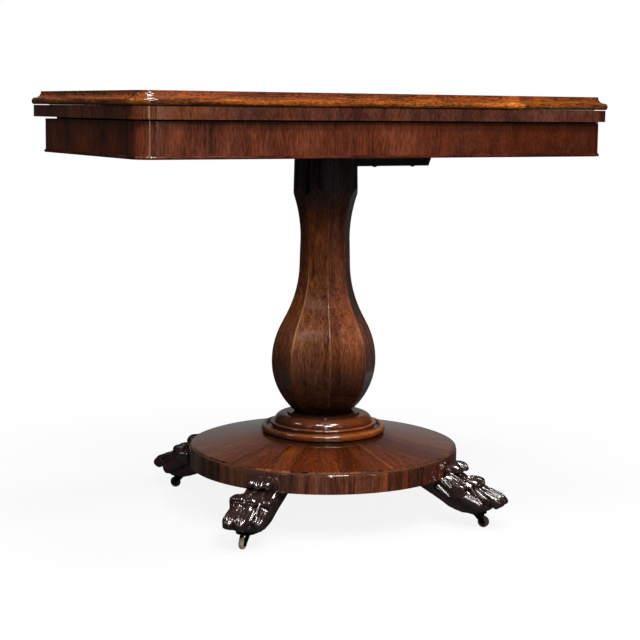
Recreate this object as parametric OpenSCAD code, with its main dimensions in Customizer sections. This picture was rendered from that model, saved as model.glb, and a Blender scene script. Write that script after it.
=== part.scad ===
// Card table: two hinged leaves that turn on a pivot, a veneered frame with a card
// well, an octagonal baluster column, a round platform and four paw feet on castors.
// The origin is on the floor under the column. +X runs along the length, +Y towards
// the hinged back edge, +Z up. All sizes are in millimetres.

/* [Leaves] */
// Height of the closed table
table_height = 740; // [720:1:780]
// Length of both leaves
leaf_length = 914; // [840:1:1000]
// Depth of one leaf
leaf_depth = 457; // [430:1:500]
// Thickness of the lower leaf
lower_thick = 20; // [16:0.5:21]
// Thickness of the upper leaf
upper_thick = 22.5; // [22:0.5:26]
// Gap between the closed leaves
leaf_gap = 1.2; // [0.8:0.1:2]
// Radius of the two front corners of the lower leaf
corner_radius = 35.5; // [28:0.5:60]
// How far the upper leaf's nose passes the lower leaf
nose_out = 3.6; // [1:0.1:6]
// Radius of the rounded nose of the moulding
nose_radius = 6.2; // [4:0.1:7]
// Radius of the hollow above the nose
hollow_radius = 11; // [8:0.1:12]
// Width of the moulding strip inside the lower leaf's edge
strip_inside = 20; // [16:0.5:24]
// Width of the wooden border around the baize
baize_border = 24; // [22:1:60]
// Thickness of the baize that is let into each leaf
baize_thick = 1; // [0.6:0.1:1.5]

/* [Frame] */
// Height of the frieze
frieze_height = 58; // [50:1:64]
// Overhang of the lower leaf past the frieze at the front and sides
overhang = 10.6; // [6:0.1:20]
// Overhang of the lower leaf past the frieze at the back
overhang_back = 30.5; // [20:0.5:40]
// Outer radius of the frieze's front corners
frieze_corner = 28; // [18:1:30]
// Thickness of the frieze rails
rail_thick = 20; // [16:1:24]
// Thickness of the frieze and rim veneer
veneer_thick = 1.2; // [0.8:0.1:2]
// Radius of the bead along the frieze's lower edge
bead_radius = 2.7; // [2:0.1:4]
// Position along X of the well partition's right face
well_end = -76; // [-100:1:-72]
// Thickness of the well floor
floor_thick = 6; // [5:0.5:9]

/* [Column] */
// Height of the column's foot above the floor
column_foot = 176.5; // [176.5:0.5:180]
// Half the distance across the flats at the belly
belly_flat = 86.7; // [80:0.5:92]
// Height of the belly's widest place
belly_height = 267.7; // [262:0.2:272]
// Half the distance across the flats at the neck
neck_flat = 40.9; // [39:0.1:44]
// Radius of the curve below the belly
belly_low_curve = 126.8; // [124:1:140]
// Radius of the curve above the belly
belly_high_curve = 151.3; // [145:0.5:156]
// Slope of the shoulder from the vertical, in degrees
shoulder_slope = 25.7; // [24:0.1:27]
// Radius of the hollow between the shoulder and the neck
hollow_curve = 214.8; // [205:0.5:222]
// Slope of the long neck from the vertical, in degrees
neck_slope = 1.42; // [1:0.02:2]
// Length of the long neck
neck_length = 49; // [40:0.2:54]
// Radius of the flare above the neck
flare_curve = 257.6; // [245:0.5:270]
// Radius of the round top block
block_radius = 57; // [54:0.5:60]
// Thickness of the bearer under the frame
bearer_thick = 21; // [18:0.5:24]
// Width of the bearer
bearer_width = 60; // [50:1:70]
// Reach of the bearer to the right of the column
bearer_reach = 205; // [190:1:215]

/* [Platform] */
// Radius of the round platform
platform_radius = 240; // [232:1:252]
// Height of the platform's underside
platform_base = 81.8; // [80:0.1:84]
// Height of the rim's top edge
rim_top = 116.8; // [114:0.1:119]
// Height of the flat seat under the collar
seat_height = 141; // [139:0.1:143]
// Radius of the flat seat
seat_radius = 106; // [104:0.5:110]
// Width of the crossbanded border
border_width = 8; // [6:0.5:14]
// Number of radiating veneer sheets
sheet_count = 16; // [12:2:20]
// Direction of the first foot from +X, in degrees
foot_turn = 35.5; // [30:0.5:60]

/* [Paws] */
// Reach of the inner claws past the castor's swivel axis
claw_reach = 52; // [46:1:56]
// Height of the middle of the inner claws
claw_height = 47; // [44:0.5:50]
// Radius of a toe at its claw
claw_radius = 11; // [9:0.5:12]
// Height of the middle of the inner knuckles
knuckle_height = 71.5; // [68:0.5:74]
// Radius of the inner knuckles
knuckle_ball = 13; // [11:0.5:14]
// Distance of the inner toes from the middle of the paw
inner_spread = 10.5; // [9:0.5:12]
// Distance of the outer toes from the middle of the paw
outer_spread = 26.5; // [24:0.5:28]
// How far the outer claws lie behind the inner ones
outer_back = 31; // [24:1:34]
// Height of the paw's sole
sole_z = 27; // [26:0.5:29]
// Half the width of the leg where it meets the platform
leg_half = 27; // [24:0.5:30]
// Height of the middle of the rolled leaf above the paw
roll_height = 99; // [96:0.5:102]
// Distance of the rolled leaf's middle from the rim of the platform
roll_reach = 16; // [12:0.5:20]

/* [Castors] */
// Distance of the castor's swivel axis from the column
castor_reach = 295; // [290:1:302]
// Distance of the wheel's axle from the swivel axis
castor_trail = 12; // [10:0.5:14]
// Radius of the wheel
wheel_radius = 9.75; // [9:0.05:10]
// Width of the wheel
wheel_width = 7; // [6:0.5:8]

/* [Hidden] */
// Distance by which moving faces stay clear of each other
slip = 0.3;
// Radial clearance of a running fit
fit = 0.05;
// Height of the lower leaf's top
lower_top = table_height - upper_thick - leaf_gap;
lower_base = lower_top - lower_thick;
upper_base = table_height - upper_thick;
// Clear height between the open upper leaf and the frame
open_clear = 0.5;
slide_gap = upper_thick - lower_thick + open_clear;
frame_top = lower_base - slide_gap;
frame_base = frame_top - frieze_height;
half_length = leaf_length / 2;
half_depth = leaf_depth / 2;
// The leaves stop this far short of the hinge axis
edge_short = 0.2;
back_edge = half_depth - edge_short;
hinge_y = half_depth;
hinge_z = lower_top + leaf_gap / 2;
// Outside of the frame
frame_x = half_length - overhang;
frame_front = -half_depth + overhang;
frame_back = half_depth - overhang_back;
frame_middle = (frame_front + frame_back) / 2;
rail_x = frame_x - veneer_thick;
rail_front = frame_front + veneer_thick;
inner_x = rail_x - rail_thick;
inner_front = rail_front + rail_thick;
inner_back = frame_back - rail_thick;
corner_block = 40;
// The pivot is placed so that a quarter turn brings the hinge line over the
// middle of the frame
pivot_x = (hinge_y - frame_middle) / 2;
pivot_y = (hinge_y + frame_middle) / 2;
pivot_radius = 8;
pivot_board_thick = 20;
pivot_board_left = 60;
pivot_board_right = 250;
pivot_plate_length = 120;
pivot_plate_width = 90;
pivot_plate_thick = 3;
plate_screw_x = 48;
plate_screw_y = 33;
bolt_head = 5;
nut_height = 8;
washer_thick = 2;
bolt_end = frame_top - pivot_board_thick - washer_thick - nut_height - 3;
// Stop peg and its quadrant slot
peg_radius = 5;
peg_reach = 70;
peg_length = 12;
peg_seat = 9;
slot_play = 0.6;
// Slide pads
pad_thick = slide_gap - 0.1;
pad_inset = 4;
pad_ring = 46;
pad_ring_hole = 26;
pad_start = 13;
pad_stop = 30;
left_pad_end = 155;
// Each baize stands out of its leaf far enough for the two nearly to meet
baize_rise = leaf_gap / 2 - 0.1;
baize_margin = 12;
// Boards inside the frame
base_board_thick = 18;
base_board_left = -70;
base_board_right = 215;
partition_thick = 12;
floor_lift = 6;
lining_thick = 1;
// Hinges
hinge_offset = 300;
hinge_length = 60;
hinge_leaf = 16;
hinge_plate = 1.8;
knuckle_radius = 2.6;
knuckle_room = 3;
hinge_pin = 1.2;
knuckle_part = hinge_length / 3;
hinge_screw_z = 10;
hinge_screw_x = 21;
hinge_screw_length = 14;
// Screws
screw_radius = 1.5;
screw_head = 3.2;
wood_screw = 2;
wood_head = 4;
// Column outline: where each arc or straight length passes into the next
curve_1_z = belly_height + belly_high_curve * sin(shoulder_slope);
curve_1_x = belly_flat - belly_high_curve * (1 - cos(shoulder_slope));
curve_3_x = neck_flat + neck_length * sin(neck_slope);
curve_2_x = curve_3_x + hollow_curve * (cos(neck_slope) - cos(shoulder_slope));
curve_2_z = curve_1_z + (curve_1_x - curve_2_x) / tan(shoulder_slope);
curve_3_z = curve_2_z + hollow_curve * (sin(shoulder_slope) - sin(neck_slope));
neck_height = curve_3_z + neck_length * cos(neck_slope);
// Centre of the hollow arc
hollow_x = curve_2_x + hollow_curve * cos(shoulder_slope);
hollow_z = curve_2_z + hollow_curve * sin(shoulder_slope);
block_clear = 80;
lap = 4;
flare_half = 68;
block_taper = 1.4;
tenon_radius = 22;
tenon_end = platform_base + 1;
wedge_length = 36;
wedge_thick = 3;
wedge_height = 20;
slot_left = -38;
bearer_undercut = 8;
stand_screw_x = [90, 170];
stand_screw_y = 18;
block_screw_y = 43;
block_screw_depth = 28;
// Platform
core_radius = platform_radius - veneer_thick;
border_inner = platform_radius - border_width;
rim_chamfer = 0.8;
sheet_joint = 0.03;
sheet_angle = 360 / sheet_count;
// Collar
ring_radius = 106.2;
ring_tube = 5.8;
ring_floor = 7;
step_radius = 92.5;
step_tube = 3;
step_top = 158.5;
boss_centre = 72.5;
boss_curve = 15.5;
boss_low = 157.5;
fillet_radius = 65;
// Paws: the toe's claw, its bend and its knuckle
paw_facets = 16;
claw_tip = castor_reach + claw_reach;
claw_middle = claw_tip - claw_radius;
claw_drop = 6;
bend_back = 29;
bend_rise = 11.5;
bend_radius = 12;
knuckle_back = 43;
// The outer toes are shorter and lower
outer_drop = 4;
outer_bend_back = 20;
outer_bend_rise = 8.5;
outer_knuckle_back = 32.5;
outer_knuckle_rise = 22.5;
outer_knuckle_ball = 12;
// Heel and leg
heel_back = 31;
heel_height = 62;
heel_radius = 16;
shin_back = 80;
shin_height = 67.5;
shin_radius = 16.5;
leg_inner = platform_radius - 64;
leg_outer = platform_radius + 6;
leg_cap = 5;
sole_front = 24;
sole_back = 36;
sole_half = 25;
sole_thick = 8;
ankle_radius = 9.5;
instep_back = 16;
instep_height = 74;
instep_radius = 11;
// Rolled leaf: three lobes side by side
roll_middle = platform_radius + roll_reach;
roll_radius = 8.2;
roll_half = 11;
lobe_spread = 14.5;
roll_shift = 6;
// Castors
castor_plate_radius = 17;
castor_plate_thick = 2.5;
castor_plate_z = sole_z - castor_plate_thick;
socket_radius = 7;
socket_top = 48;
swivel_radius = 3;
crown_radius = 10;
crown_thick = 2.6;
crown_top = castor_plate_z - slip;
arm_thick = 2;
arm_gap = wheel_width / 2 + slip;
axle_radius = 1.5;
castor_screw_reach = 12.5;
castor_screw_length = 14;
swivel_short = 5;
arm_end = 4.2;

// Height of the platform's conical top at a given radius
function top_at(r) = rim_top + (platform_radius - r) * (seat_height - rim_top) / (platform_radius - seat_radius);

// Platform

module platform_core() {
  color([0.33, 0.14, 0.07])
  difference() {
    rotate_extrude($fn = 180)
    polygon([
      [tenon_radius + slip, platform_base],
      [core_radius, platform_base],
      [core_radius, top_at(core_radius) - veneer_thick],
      [seat_radius, seat_height - veneer_thick],
      [seat_radius, seat_height],
      [tenon_radius + slip, seat_height]
    ]);
  }
}

// One veneer sheet in the form of a sector, turned to its place
module veneer_sheet(place) {
  rotate([0, 0, place * sheet_angle])
  rotate_extrude(angle = sheet_angle - sheet_joint, $fn = 180)
  polygon([
    [seat_radius, seat_height - veneer_thick],
    [border_inner, top_at(border_inner) - veneer_thick],
    [border_inner, top_at(border_inner)],
    [seat_radius, seat_height]
  ]);
}

module platform_veneer_light() {
  color([0.5, 0.23, 0.1])
  for (i = [0:2:sheet_count - 1]) {
    veneer_sheet(i);
  }
}

module platform_veneer_dark() {
  color([0.36, 0.15, 0.08])
  for (i = [1:2:sheet_count - 1]) {
    veneer_sheet(i);
  }
}

module platform_border() {
  color([0.42, 0.18, 0.08])
  rotate_extrude($fn = 180)
  polygon([
    [border_inner, top_at(border_inner) - veneer_thick],
    [core_radius, top_at(core_radius) - veneer_thick],
    [platform_radius, top_at(core_radius) - veneer_thick],
    [platform_radius, rim_top - rim_chamfer],
    [platform_radius - rim_chamfer, rim_top],
    [border_inner, top_at(border_inner)]
  ]);
}

module platform_rim() {
  color([0.24, 0.1, 0.06])
  difference() {
    translate([0, 0, platform_base])
    cylinder(h = top_at(core_radius) - veneer_thick - platform_base, r = platform_radius, $fn = 180);
    translate([0, 0, platform_base - 1])
    cylinder(h = top_at(core_radius) + 2 - platform_base, r = core_radius, $fn = 180);
  }
}

// Collar and column

module collar_ring() {
  color([0.5, 0.22, 0.08])
  rotate_extrude($fn = 180)
  union() {
    translate([tenon_radius + slip, seat_height])
    square([ring_radius - tenon_radius - slip, ring_floor]);
    translate([ring_radius, seat_height + ring_tube + 0.2])
    circle(r = ring_tube, $fn = 48);
    translate([tenon_radius + slip, seat_height])
    square([step_radius - tenon_radius - slip, step_top - seat_height]);
    translate([step_radius, step_top - step_tube])
    circle(r = step_tube, $fn = 48);
  }
}

module collar_boss() {
  color([0.4, 0.16, 0.07])
  rotate_extrude($fn = 180)
  union() {
    intersection() {
      translate([tenon_radius + slip, step_top])
      square([boss_centre + boss_curve, boss_low + boss_curve - step_top]);
      union() {
        translate([0, step_top])
        square([boss_centre, boss_curve]);
        translate([boss_centre, boss_low])
        circle(r = boss_curve, $fn = 48);
      }
    }
    translate([tenon_radius + slip, step_top])
    square([fillet_radius - tenon_radius - slip, column_foot - step_top]);
  }
}

// Stands a flat outline up and cuts it to an eight-sided solid whose opposite faces
// all have that outline
module eight_sided() {
  intersection() {
    column_slab(0)
    children();
    column_slab(45)
    children();
    column_slab(90)
    children();
    column_slab(135)
    children();
  }
}

module column_slab(turn) {
  rotate([0, 0, turn])
  rotate([90, 0, 0])
  linear_extrude(height = 2.4 * belly_flat, center = true)
  children();
}

// Outline that bulges: both sides are arcs with their widest place at wide_z
module bulge(low, high, wide_x, wide_z, curve) {
  intersection() {
    translate([-wide_x - 5, low])
    square([2 * wide_x + 10, high - low]);
    translate([wide_x - curve, wide_z])
    circle(r = curve, $fn = 96);
    translate([curve - wide_x, wide_z])
    circle(r = curve, $fn = 96);
  }
}

// Eight-sided prism whose faces are hollowed by cylinders lying along them
module hollow_sided(low, high, half, centre_x, centre_z, curve) {
  difference() {
    translate([0, 0, low])
    rotate([0, 0, 22.5])
    cylinder(h = high - low, r = half / cos(22.5), $fn = 8);
    for (turn = [0:45:315]) {
      rotate([0, 0, turn])
      translate([centre_x, 0, centre_z])
      rotate([90, 0, 0])
      cylinder(h = 2.4 * belly_flat, r = curve, center = true, $fn = 96);
    }
  }
}

// Each length reaches a little way into the next, so that they join as one solid
module column_shaft() {
  eight_sided()
  bulge(column_foot, belly_height + lap, belly_flat, belly_height, belly_low_curve);
  eight_sided()
  bulge(belly_height, curve_1_z + lap, belly_flat, belly_height, belly_high_curve);
  eight_sided()
  tapered(curve_1_x, curve_1_z, curve_2_x - lap * tan(shoulder_slope), curve_2_z + lap);
  hollow_sided(curve_2_z, curve_3_z, curve_2_x + 1, hollow_x, hollow_z, hollow_curve);
  eight_sided()
  tapered(curve_3_x + lap * tan(neck_slope), curve_3_z - lap, neck_flat - lap * tan(neck_slope), neck_height + lap);
  intersection() {
    hollow_sided(neck_height, frame_base, flare_half, neck_flat + flare_curve, neck_height, flare_curve);
    rotate_extrude($fn = 120)
    polygon([
      [0, neck_height],
      [block_radius, neck_height],
      [block_radius, neck_height + block_clear],
      [block_radius - block_taper, frame_base],
      [0, frame_base]
    ]);
  }
}

module tapered(low_x, low_z, high_x, high_z) {
  polygon([
    [-low_x, low_z],
    [low_x, low_z],
    [high_x, high_z],
    [-high_x, high_z]
  ]);
}

module column() {
  color([0.22, 0.07, 0.045])
  difference() {
    union() {
      column_shaft();
      translate([0, 0, tenon_end])
      cylinder(h = column_foot + 5 - tenon_end, r = tenon_radius, $fn = 60);
    }
    translate([slot_left, -bearer_width / 2, frame_base - bearer_thick])
    cube([block_radius + 10 - slot_left, bearer_width, bearer_thick + 1]);
    translate([-wedge_length / 2, -wedge_thick / 2, tenon_end - 1])
    cube([wedge_length, wedge_thick, wedge_height + 1]);
    for (side = [-1, 1]) {
      translate([0, side * block_screw_y, frame_base - 30])
      cylinder(h = 31, r = wood_screw + fit, $fn = 24);
    }
  }
}

module column_wedge() {
  color([0.5, 0.36, 0.22])
  translate([-wedge_length / 2, -wedge_thick / 2, tenon_end - 0.5])
  cube([wedge_length, wedge_thick, wedge_height + 0.5]);
}

module bearer() {
  color([0.25, 0.11, 0.06])
  difference() {
    translate([0, bearer_width / 2, 0])
    rotate([90, 0, 0])
    linear_extrude(height = bearer_width)
    polygon([
      [slot_left, frame_base - bearer_thick],
      [bearer_reach - bearer_undercut, frame_base - bearer_thick],
      [bearer_reach, frame_base],
      [slot_left, frame_base]
    ]);
    stand_screw_places()
    translate([0, 0, frame_base - bearer_thick - 1])
    cylinder(h = bearer_thick + 2, r = wood_screw + fit, $fn = 24);
  }
}

module stand_screw_places() {
  for (x = stand_screw_x) {
    for (side = [-1, 1]) {
      translate([x, side * stand_screw_y, 0])
      children();
    }
  }
}

module stand_screws() {
  color([0.45, 0.36, 0.2])
  union() {
    stand_screw_places() {
      translate([0, 0, frame_base - bearer_thick])
      cylinder(h = bearer_thick + base_board_thick - 4, r = wood_screw, $fn = 24);
      translate([0, 0, frame_base - bearer_thick - 2])
      cylinder(h = 2, r1 = wood_head - 1, r2 = wood_head, $fn = 24);
    }
    for (side = [-1, 1]) {
      translate([0, side * block_screw_y, frame_base - block_screw_depth]) {
        cylinder(h = block_screw_depth + base_board_thick, r = wood_screw, $fn = 24);
        translate([0, 0, block_screw_depth + base_board_thick])
        cylinder(h = 2, r1 = wood_head, r2 = wood_head - 1, $fn = 24);
      }
    }
  }
}

// Frame

// Outline of the frame, drawn in by inset; back_extra moves its back edge out
module frame_outline(inset, back_extra) {
  corner = frieze_corner - inset;
  x = frame_x - inset;
  front = frame_front + inset;
  union() {
    translate([-x, front + corner])
    square([2 * x, frame_back + back_extra - front - corner]);
    translate([-x + corner, front])
    square([2 * (x - corner), corner + 1]);
    for (side = [-1, 1]) {
      translate([side * (x - corner), front + corner])
      circle(r = corner, $fn = 60);
    }
  }
}

module base_board() {
  color([0.4, 0.24, 0.13])
  difference() {
    translate([base_board_left, inner_front, frame_base])
    cube([base_board_right - base_board_left, inner_back - inner_front, base_board_thick]);
    stand_screw_places()
    translate([0, 0, frame_base - 1])
    cylinder(h = base_board_thick - 2.5, r = wood_screw + fit, $fn = 24);
    for (side = [-1, 1]) {
      translate([0, side * block_screw_y, frame_base - 1])
      cylinder(h = base_board_thick + 2, r = wood_screw + fit, $fn = 24);
    }
  }
}

module frieze_front() {
  color([0.36, 0.2, 0.1])
  translate([-rail_x + corner_block, rail_front, frame_base])
  cube([2 * (rail_x - corner_block), rail_thick, frieze_height]);
}

module frieze_back() {
  color([0.3, 0.15, 0.08])
  translate([-inner_x, inner_back, frame_base])
  cube([2 * inner_x, rail_thick, frieze_height]);
}

module side_rail() {
  translate([inner_x, rail_front + corner_block, frame_base])
  cube([rail_thick, frame_back - rail_front - corner_block, frieze_height]);
}

module frieze_right() {
  color([0.36, 0.2, 0.1])
  side_rail();
}

module frieze_left() {
  color([0.36, 0.2, 0.1])
  mirror([1, 0, 0])
  side_rail();
}

module corner_blocks() {
  color([0.38, 0.22, 0.12])
  translate([0, 0, frame_base])
  linear_extrude(height = frieze_height)
  intersection() {
    frame_outline(veneer_thick, 0);
    for (side = [-1, 1]) {
      translate([side * (rail_x - corner_block / 2), rail_front + corner_block / 2])
      square([corner_block, corner_block], center = true);
    }
  }
}

module frieze_veneer() {
  color([0.3, 0.1, 0.06])
  translate([0, 0, frame_base])
  linear_extrude(height = frieze_height)
  difference() {
    frame_outline(0, 0);
    frame_outline(veneer_thick, 5);
  }
}

// Sweeps a flat profile around the front and sides of an outline with round front
// corners. The profile's x points outwards and its y points up.
module sweep_sides(x, front, back, corner) {
  for (side = [0, 1]) {
    mirror([side, 0, 0])
    translate([x, back, 0])
    rotate([90, 0, 0])
    linear_extrude(height = back - front - corner)
    children();
  }
}

module sweep_front(x, front, corner) {
  translate([x - corner, front, 0])
  rotate([90, 0, -90])
  linear_extrude(height = 2 * (x - corner))
  children();
  for (side = [0, 1]) {
    mirror([side, 0, 0])
    translate([x - corner, front + corner, 0])
    rotate([0, 0, -90])
    rotate_extrude(angle = 90, $fn = 96)
    translate([corner, 0])
    children();
  }
}

// Half-round bead standing out from the veneer
module bead_profile() {
  intersection() {
    translate([0, frame_base + bead_radius])
    circle(r = bead_radius, $fn = 32);
    translate([0, frame_base])
    square([bead_radius, 2 * bead_radius]);
  }
}

module bead_moulding() {
  color([0.22, 0.08, 0.05])
  union() {
    sweep_sides(frame_x, frame_front, frame_back, frieze_corner)
    bead_profile();
    sweep_front(frame_x, frame_front, frieze_corner)
    bead_profile();
  }
}

module well_partition() {
  color([0.4, 0.24, 0.13])
  translate([well_end - partition_thick, inner_front, frame_base + 2])
  cube([partition_thick, inner_back - inner_front, frieze_height - 3]);
}

// Room around the corner block that stands inside the well
module corner_room() {
  translate([-rail_x - slip, rail_front - slip, frame_base])
  cube([corner_block + 2 * slip, corner_block + 2 * slip, frieze_height]);
}

module well_floor() {
  color([0.42, 0.26, 0.14])
  difference() {
    translate([-inner_x, inner_front, frame_base + floor_lift])
    cube([inner_x + well_end - partition_thick, inner_back - inner_front, floor_thick]);
    corner_room();
  }
}

module well_lining() {
  color([0.12, 0.22, 0.12])
  difference() {
    translate([-inner_x + 1, inner_front + 1, frame_base + floor_lift + floor_thick])
    cube([inner_x + well_end - partition_thick - 2, inner_back - inner_front - 2, lining_thick]);
    corner_room();
  }
}

module pivot_board() {
  color([0.42, 0.26, 0.14])
  difference() {
    translate([pivot_board_left, inner_front, frame_top - pivot_board_thick])
    cube([pivot_board_right - pivot_board_left, inner_back - inner_front, pivot_board_thick]);
    translate([pivot_x, pivot_y, frame_top - pivot_board_thick - 1])
    cylinder(h = pivot_board_thick + 2, r = pivot_radius + fit, $fn = 48);
    peg_slot();
  }
}

// Quadrant slot in which the stop peg travels
module peg_slot() {
  half = peg_radius + slot_play;
  depth = peg_length - slide_gap + 2;
  translate([pivot_x, pivot_y, frame_top - depth]) {
    intersection() {
      difference() {
        cylinder(h = depth + 1, r = peg_reach + half, $fn = 120);
        translate([0, 0, -1])
        cylinder(h = depth + 3, r = peg_reach - half, $fn = 120);
      }
      translate([0, -peg_reach - half - 1, 0])
      cube([peg_reach + half + 1, peg_reach + half + 1, depth + 1]);
    }
    translate([0, -peg_reach, 0])
    cylinder(h = depth + 1, r = half, $fn = 48);
    translate([peg_reach, 0, 0])
    cylinder(h = depth + 1, r = half, $fn = 48);
  }
}

// Pads under the lower leaf, which slide on the frame. They are on the leaf because
// the open upper leaf lies close above the frame.
module slide_pads() {
  color([0.12, 0.2, 0.12])
  translate([0, 0, lower_base - pad_thick])
  union() {
    translate([pivot_x, pivot_y, 0])
    difference() {
      cylinder(h = pad_thick, r = pad_ring, $fn = 60);
      translate([0, 0, -1])
      cylinder(h = pad_thick + 2, r = pad_ring_hole, $fn = 60);
    }
    translate([inner_x + pad_inset, frame_front + pad_start, 0])
    cube([rail_thick - 2 * pad_inset, frame_back - frame_front - 2 * pad_start, pad_thick]);
    translate([-rail_x + pad_inset, frame_front + pad_start, 0])
    cube([rail_thick - 2 * pad_inset, left_pad_end - frame_front - pad_start, pad_thick]);
    translate([-inner_x - pad_inset + 1, rail_front + pad_inset, 0])
    cube([2 * (inner_x + pad_inset - 1), rail_thick - 2 * pad_inset, pad_thick]);
    translate([-inner_x + pad_stop, inner_back + pad_inset, 0])
    cube([2 * (inner_x - pad_stop), rail_thick - 2 * pad_inset, pad_thick]);
  }
}

// Paw feet

module ball(reach, side, height, r) {
  translate([reach, side, height])
  sphere(r = r, $fn = paw_facets);
}

// A toe: a blunt claw, a bend and a knuckle
module inner_toe(side) {
  bend = claw_middle - bend_back;
  bend_height = claw_height + bend_rise;
  hull() {
    ball(claw_middle, side, claw_height, claw_radius);
    ball(claw_middle - claw_drop, side, claw_height - claw_drop, claw_radius - claw_drop / 2);
    ball(bend, side, bend_height, bend_radius);
  }
  hull() {
    ball(bend, side, bend_height, bend_radius);
    ball(claw_middle - knuckle_back, side, knuckle_height, knuckle_ball);
  }
}

module outer_toe(side) {
  claw = claw_middle - outer_back;
  bend = claw - outer_bend_back;
  height = claw_height - outer_drop;
  hull() {
    ball(claw, side, height, claw_radius);
    ball(claw - claw_drop, side, height - claw_drop, claw_radius - claw_drop / 2);
    ball(bend, side, height + outer_bend_rise, claw_radius);
  }
  hull() {
    ball(bend, side, height + outer_bend_rise, claw_radius);
    ball(claw - outer_knuckle_back, side, height + outer_knuckle_rise, outer_knuckle_ball);
  }
}

// The foot behind the toes, with the leg that rakes up to the platform
module paw_body() {
  heel = castor_reach - heel_back;
  hull() {
    for (side = [-1, 1]) {
      ball(claw_middle - knuckle_back, side * inner_spread, heel_height, heel_radius);
      ball(heel, side * inner_spread, heel_height, heel_radius);
    }
    translate([castor_reach - sole_back, -sole_half, sole_z])
    cube([sole_back + sole_front, 2 * sole_half, sole_thick]);
  }
  hull() {
    for (side = [-1, 1]) {
      ball(heel, side * inner_spread, heel_height, heel_radius);
      ball(castor_reach - shin_back, side * inner_spread, shin_height, shin_radius);
    }
    translate([leg_inner, -leg_half, platform_base - leg_cap])
    cube([leg_outer - leg_inner, 2 * leg_half, leg_cap]);
  }
}

// Three rolled lobes stand against the platform's rim and run down into the instep
module rolled_leaf() {
  for (place = [-1:1]) {
    lobe = roll_shift + place * lobe_spread;
    reach = roll_middle + roll_half - abs(place) * roll_half / 3;
    hull() {
      ball(roll_middle - roll_half, lobe, roll_height, roll_radius);
      ball(reach, lobe, roll_height - 1, roll_radius - 1);
    }
  }
  hull() {
    for (side = [-1, 1]) {
      ball(roll_middle, roll_shift / 2 + side * inner_spread, roll_height - ankle_radius, ankle_radius);
      ball(castor_reach - instep_back, side * inner_spread, instep_height, instep_radius);
    }
  }
}

module paw_shape() {
  difference() {
    union() {
      for (side = [-1, 1]) {
        inner_toe(side * inner_spread);
        outer_toe(side * outer_spread);
      }
      paw_body();
      rolled_leaf();
    }
    translate([0, 0, platform_base])
    cylinder(h = platform_radius, r = platform_radius + slip, $fn = 120);
    translate([0, -claw_tip / 2, 0])
    cube([claw_tip + 1, claw_tip, sole_z]);
    translate([castor_reach, 0, sole_z - 1])
    cylinder(h = socket_top - sole_z + 2, r = socket_radius + slip, $fn = 24);
    castor_screw_places()
    translate([0, 0, sole_z - 1])
    cylinder(h = castor_screw_length, r = screw_radius + slip, $fn = 12);
  }
}

// Turns a piece of a foot to its place; places run anticlockwise from foot_turn
module at_foot(place) {
  rotate([0, 0, foot_turn + 90 * (place - 1)])
  children();
}

module paw(place) {
  color([0.08, 0.035, 0.025])
  at_foot(place)
  paw_shape();
}

module castor_screw_places() {
  for (turn = [45:90:315]) {
    translate([castor_reach, 0, 0])
    rotate([0, 0, turn])
    translate([castor_screw_reach, 0, 0])
    children();
  }
}

module castor_plate(place) {
  color([0.62, 0.45, 0.2])
  at_foot(place)
  difference() {
    translate([castor_reach, 0, castor_plate_z]) {
      cylinder(h = castor_plate_thick, r = castor_plate_radius, $fn = 60);
      cylinder(h = socket_top - castor_plate_z, r = socket_radius, $fn = 40);
    }
    translate([castor_reach, 0, castor_plate_z - 1])
    cylinder(h = socket_top - castor_plate_z - 2, r = swivel_radius + fit, $fn = 40);
    castor_screw_places()
    translate([0, 0, castor_plate_z - 1])
    cylinder(h = castor_plate_thick + 2, r = screw_radius + fit, $fn = 24);
  }
}

module castor_screws() {
  color([0.5, 0.4, 0.2])
  for (place = [1:4]) {
    at_foot(place)
    castor_screw_places() {
      translate([0, 0, castor_plate_z])
      cylinder(h = castor_screw_length, r = screw_radius, $fn = 24);
      translate([0, 0, castor_plate_z - 0.8])
      cylinder(h = 0.8, r1 = screw_head - 0.9, r2 = screw_head - 0.3, $fn = 24);
    }
  }
}

// Horn with its crown, swivel pin and axle; the arms run out and down to the axle
module castor_fork(place) {
  color([0.6, 0.43, 0.18])
  at_foot(place)
  translate([castor_reach, 0, 0])
  union() {
    translate([0, 0, crown_top - crown_thick])
    cylinder(h = crown_thick, r = crown_radius - 1, $fn = 48);
    translate([0, 0, crown_top - crown_thick])
    cylinder(h = socket_top - swivel_short - crown_top + crown_thick, r = swivel_radius, $fn = 40);
    for (side = [0, 1]) {
      mirror([0, side, 0])
      translate([0, arm_gap + arm_thick, 0])
      rotate([90, 0, 0])
      linear_extrude(height = arm_thick)
      union() {
        translate([castor_trail, wheel_radius])
        circle(r = arm_end, $fn = 36);
        polygon([
          [-crown_radius / 2, crown_top - crown_thick],
          [castor_trail - arm_end * cos(10), wheel_radius - arm_end * sin(10)],
          [castor_trail + arm_end * cos(32), wheel_radius + arm_end * sin(32)],
          [castor_trail - 0.6 * arm_end, crown_top],
          [-crown_radius / 2, crown_top]
        ]);
      }
    }
    translate([castor_trail, arm_gap + arm_thick + 1, wheel_radius])
    rotate([90, 0, 0])
    cylinder(h = 2 * (arm_gap + arm_thick + 1), r = axle_radius, $fn = 32);
  }
}

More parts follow.
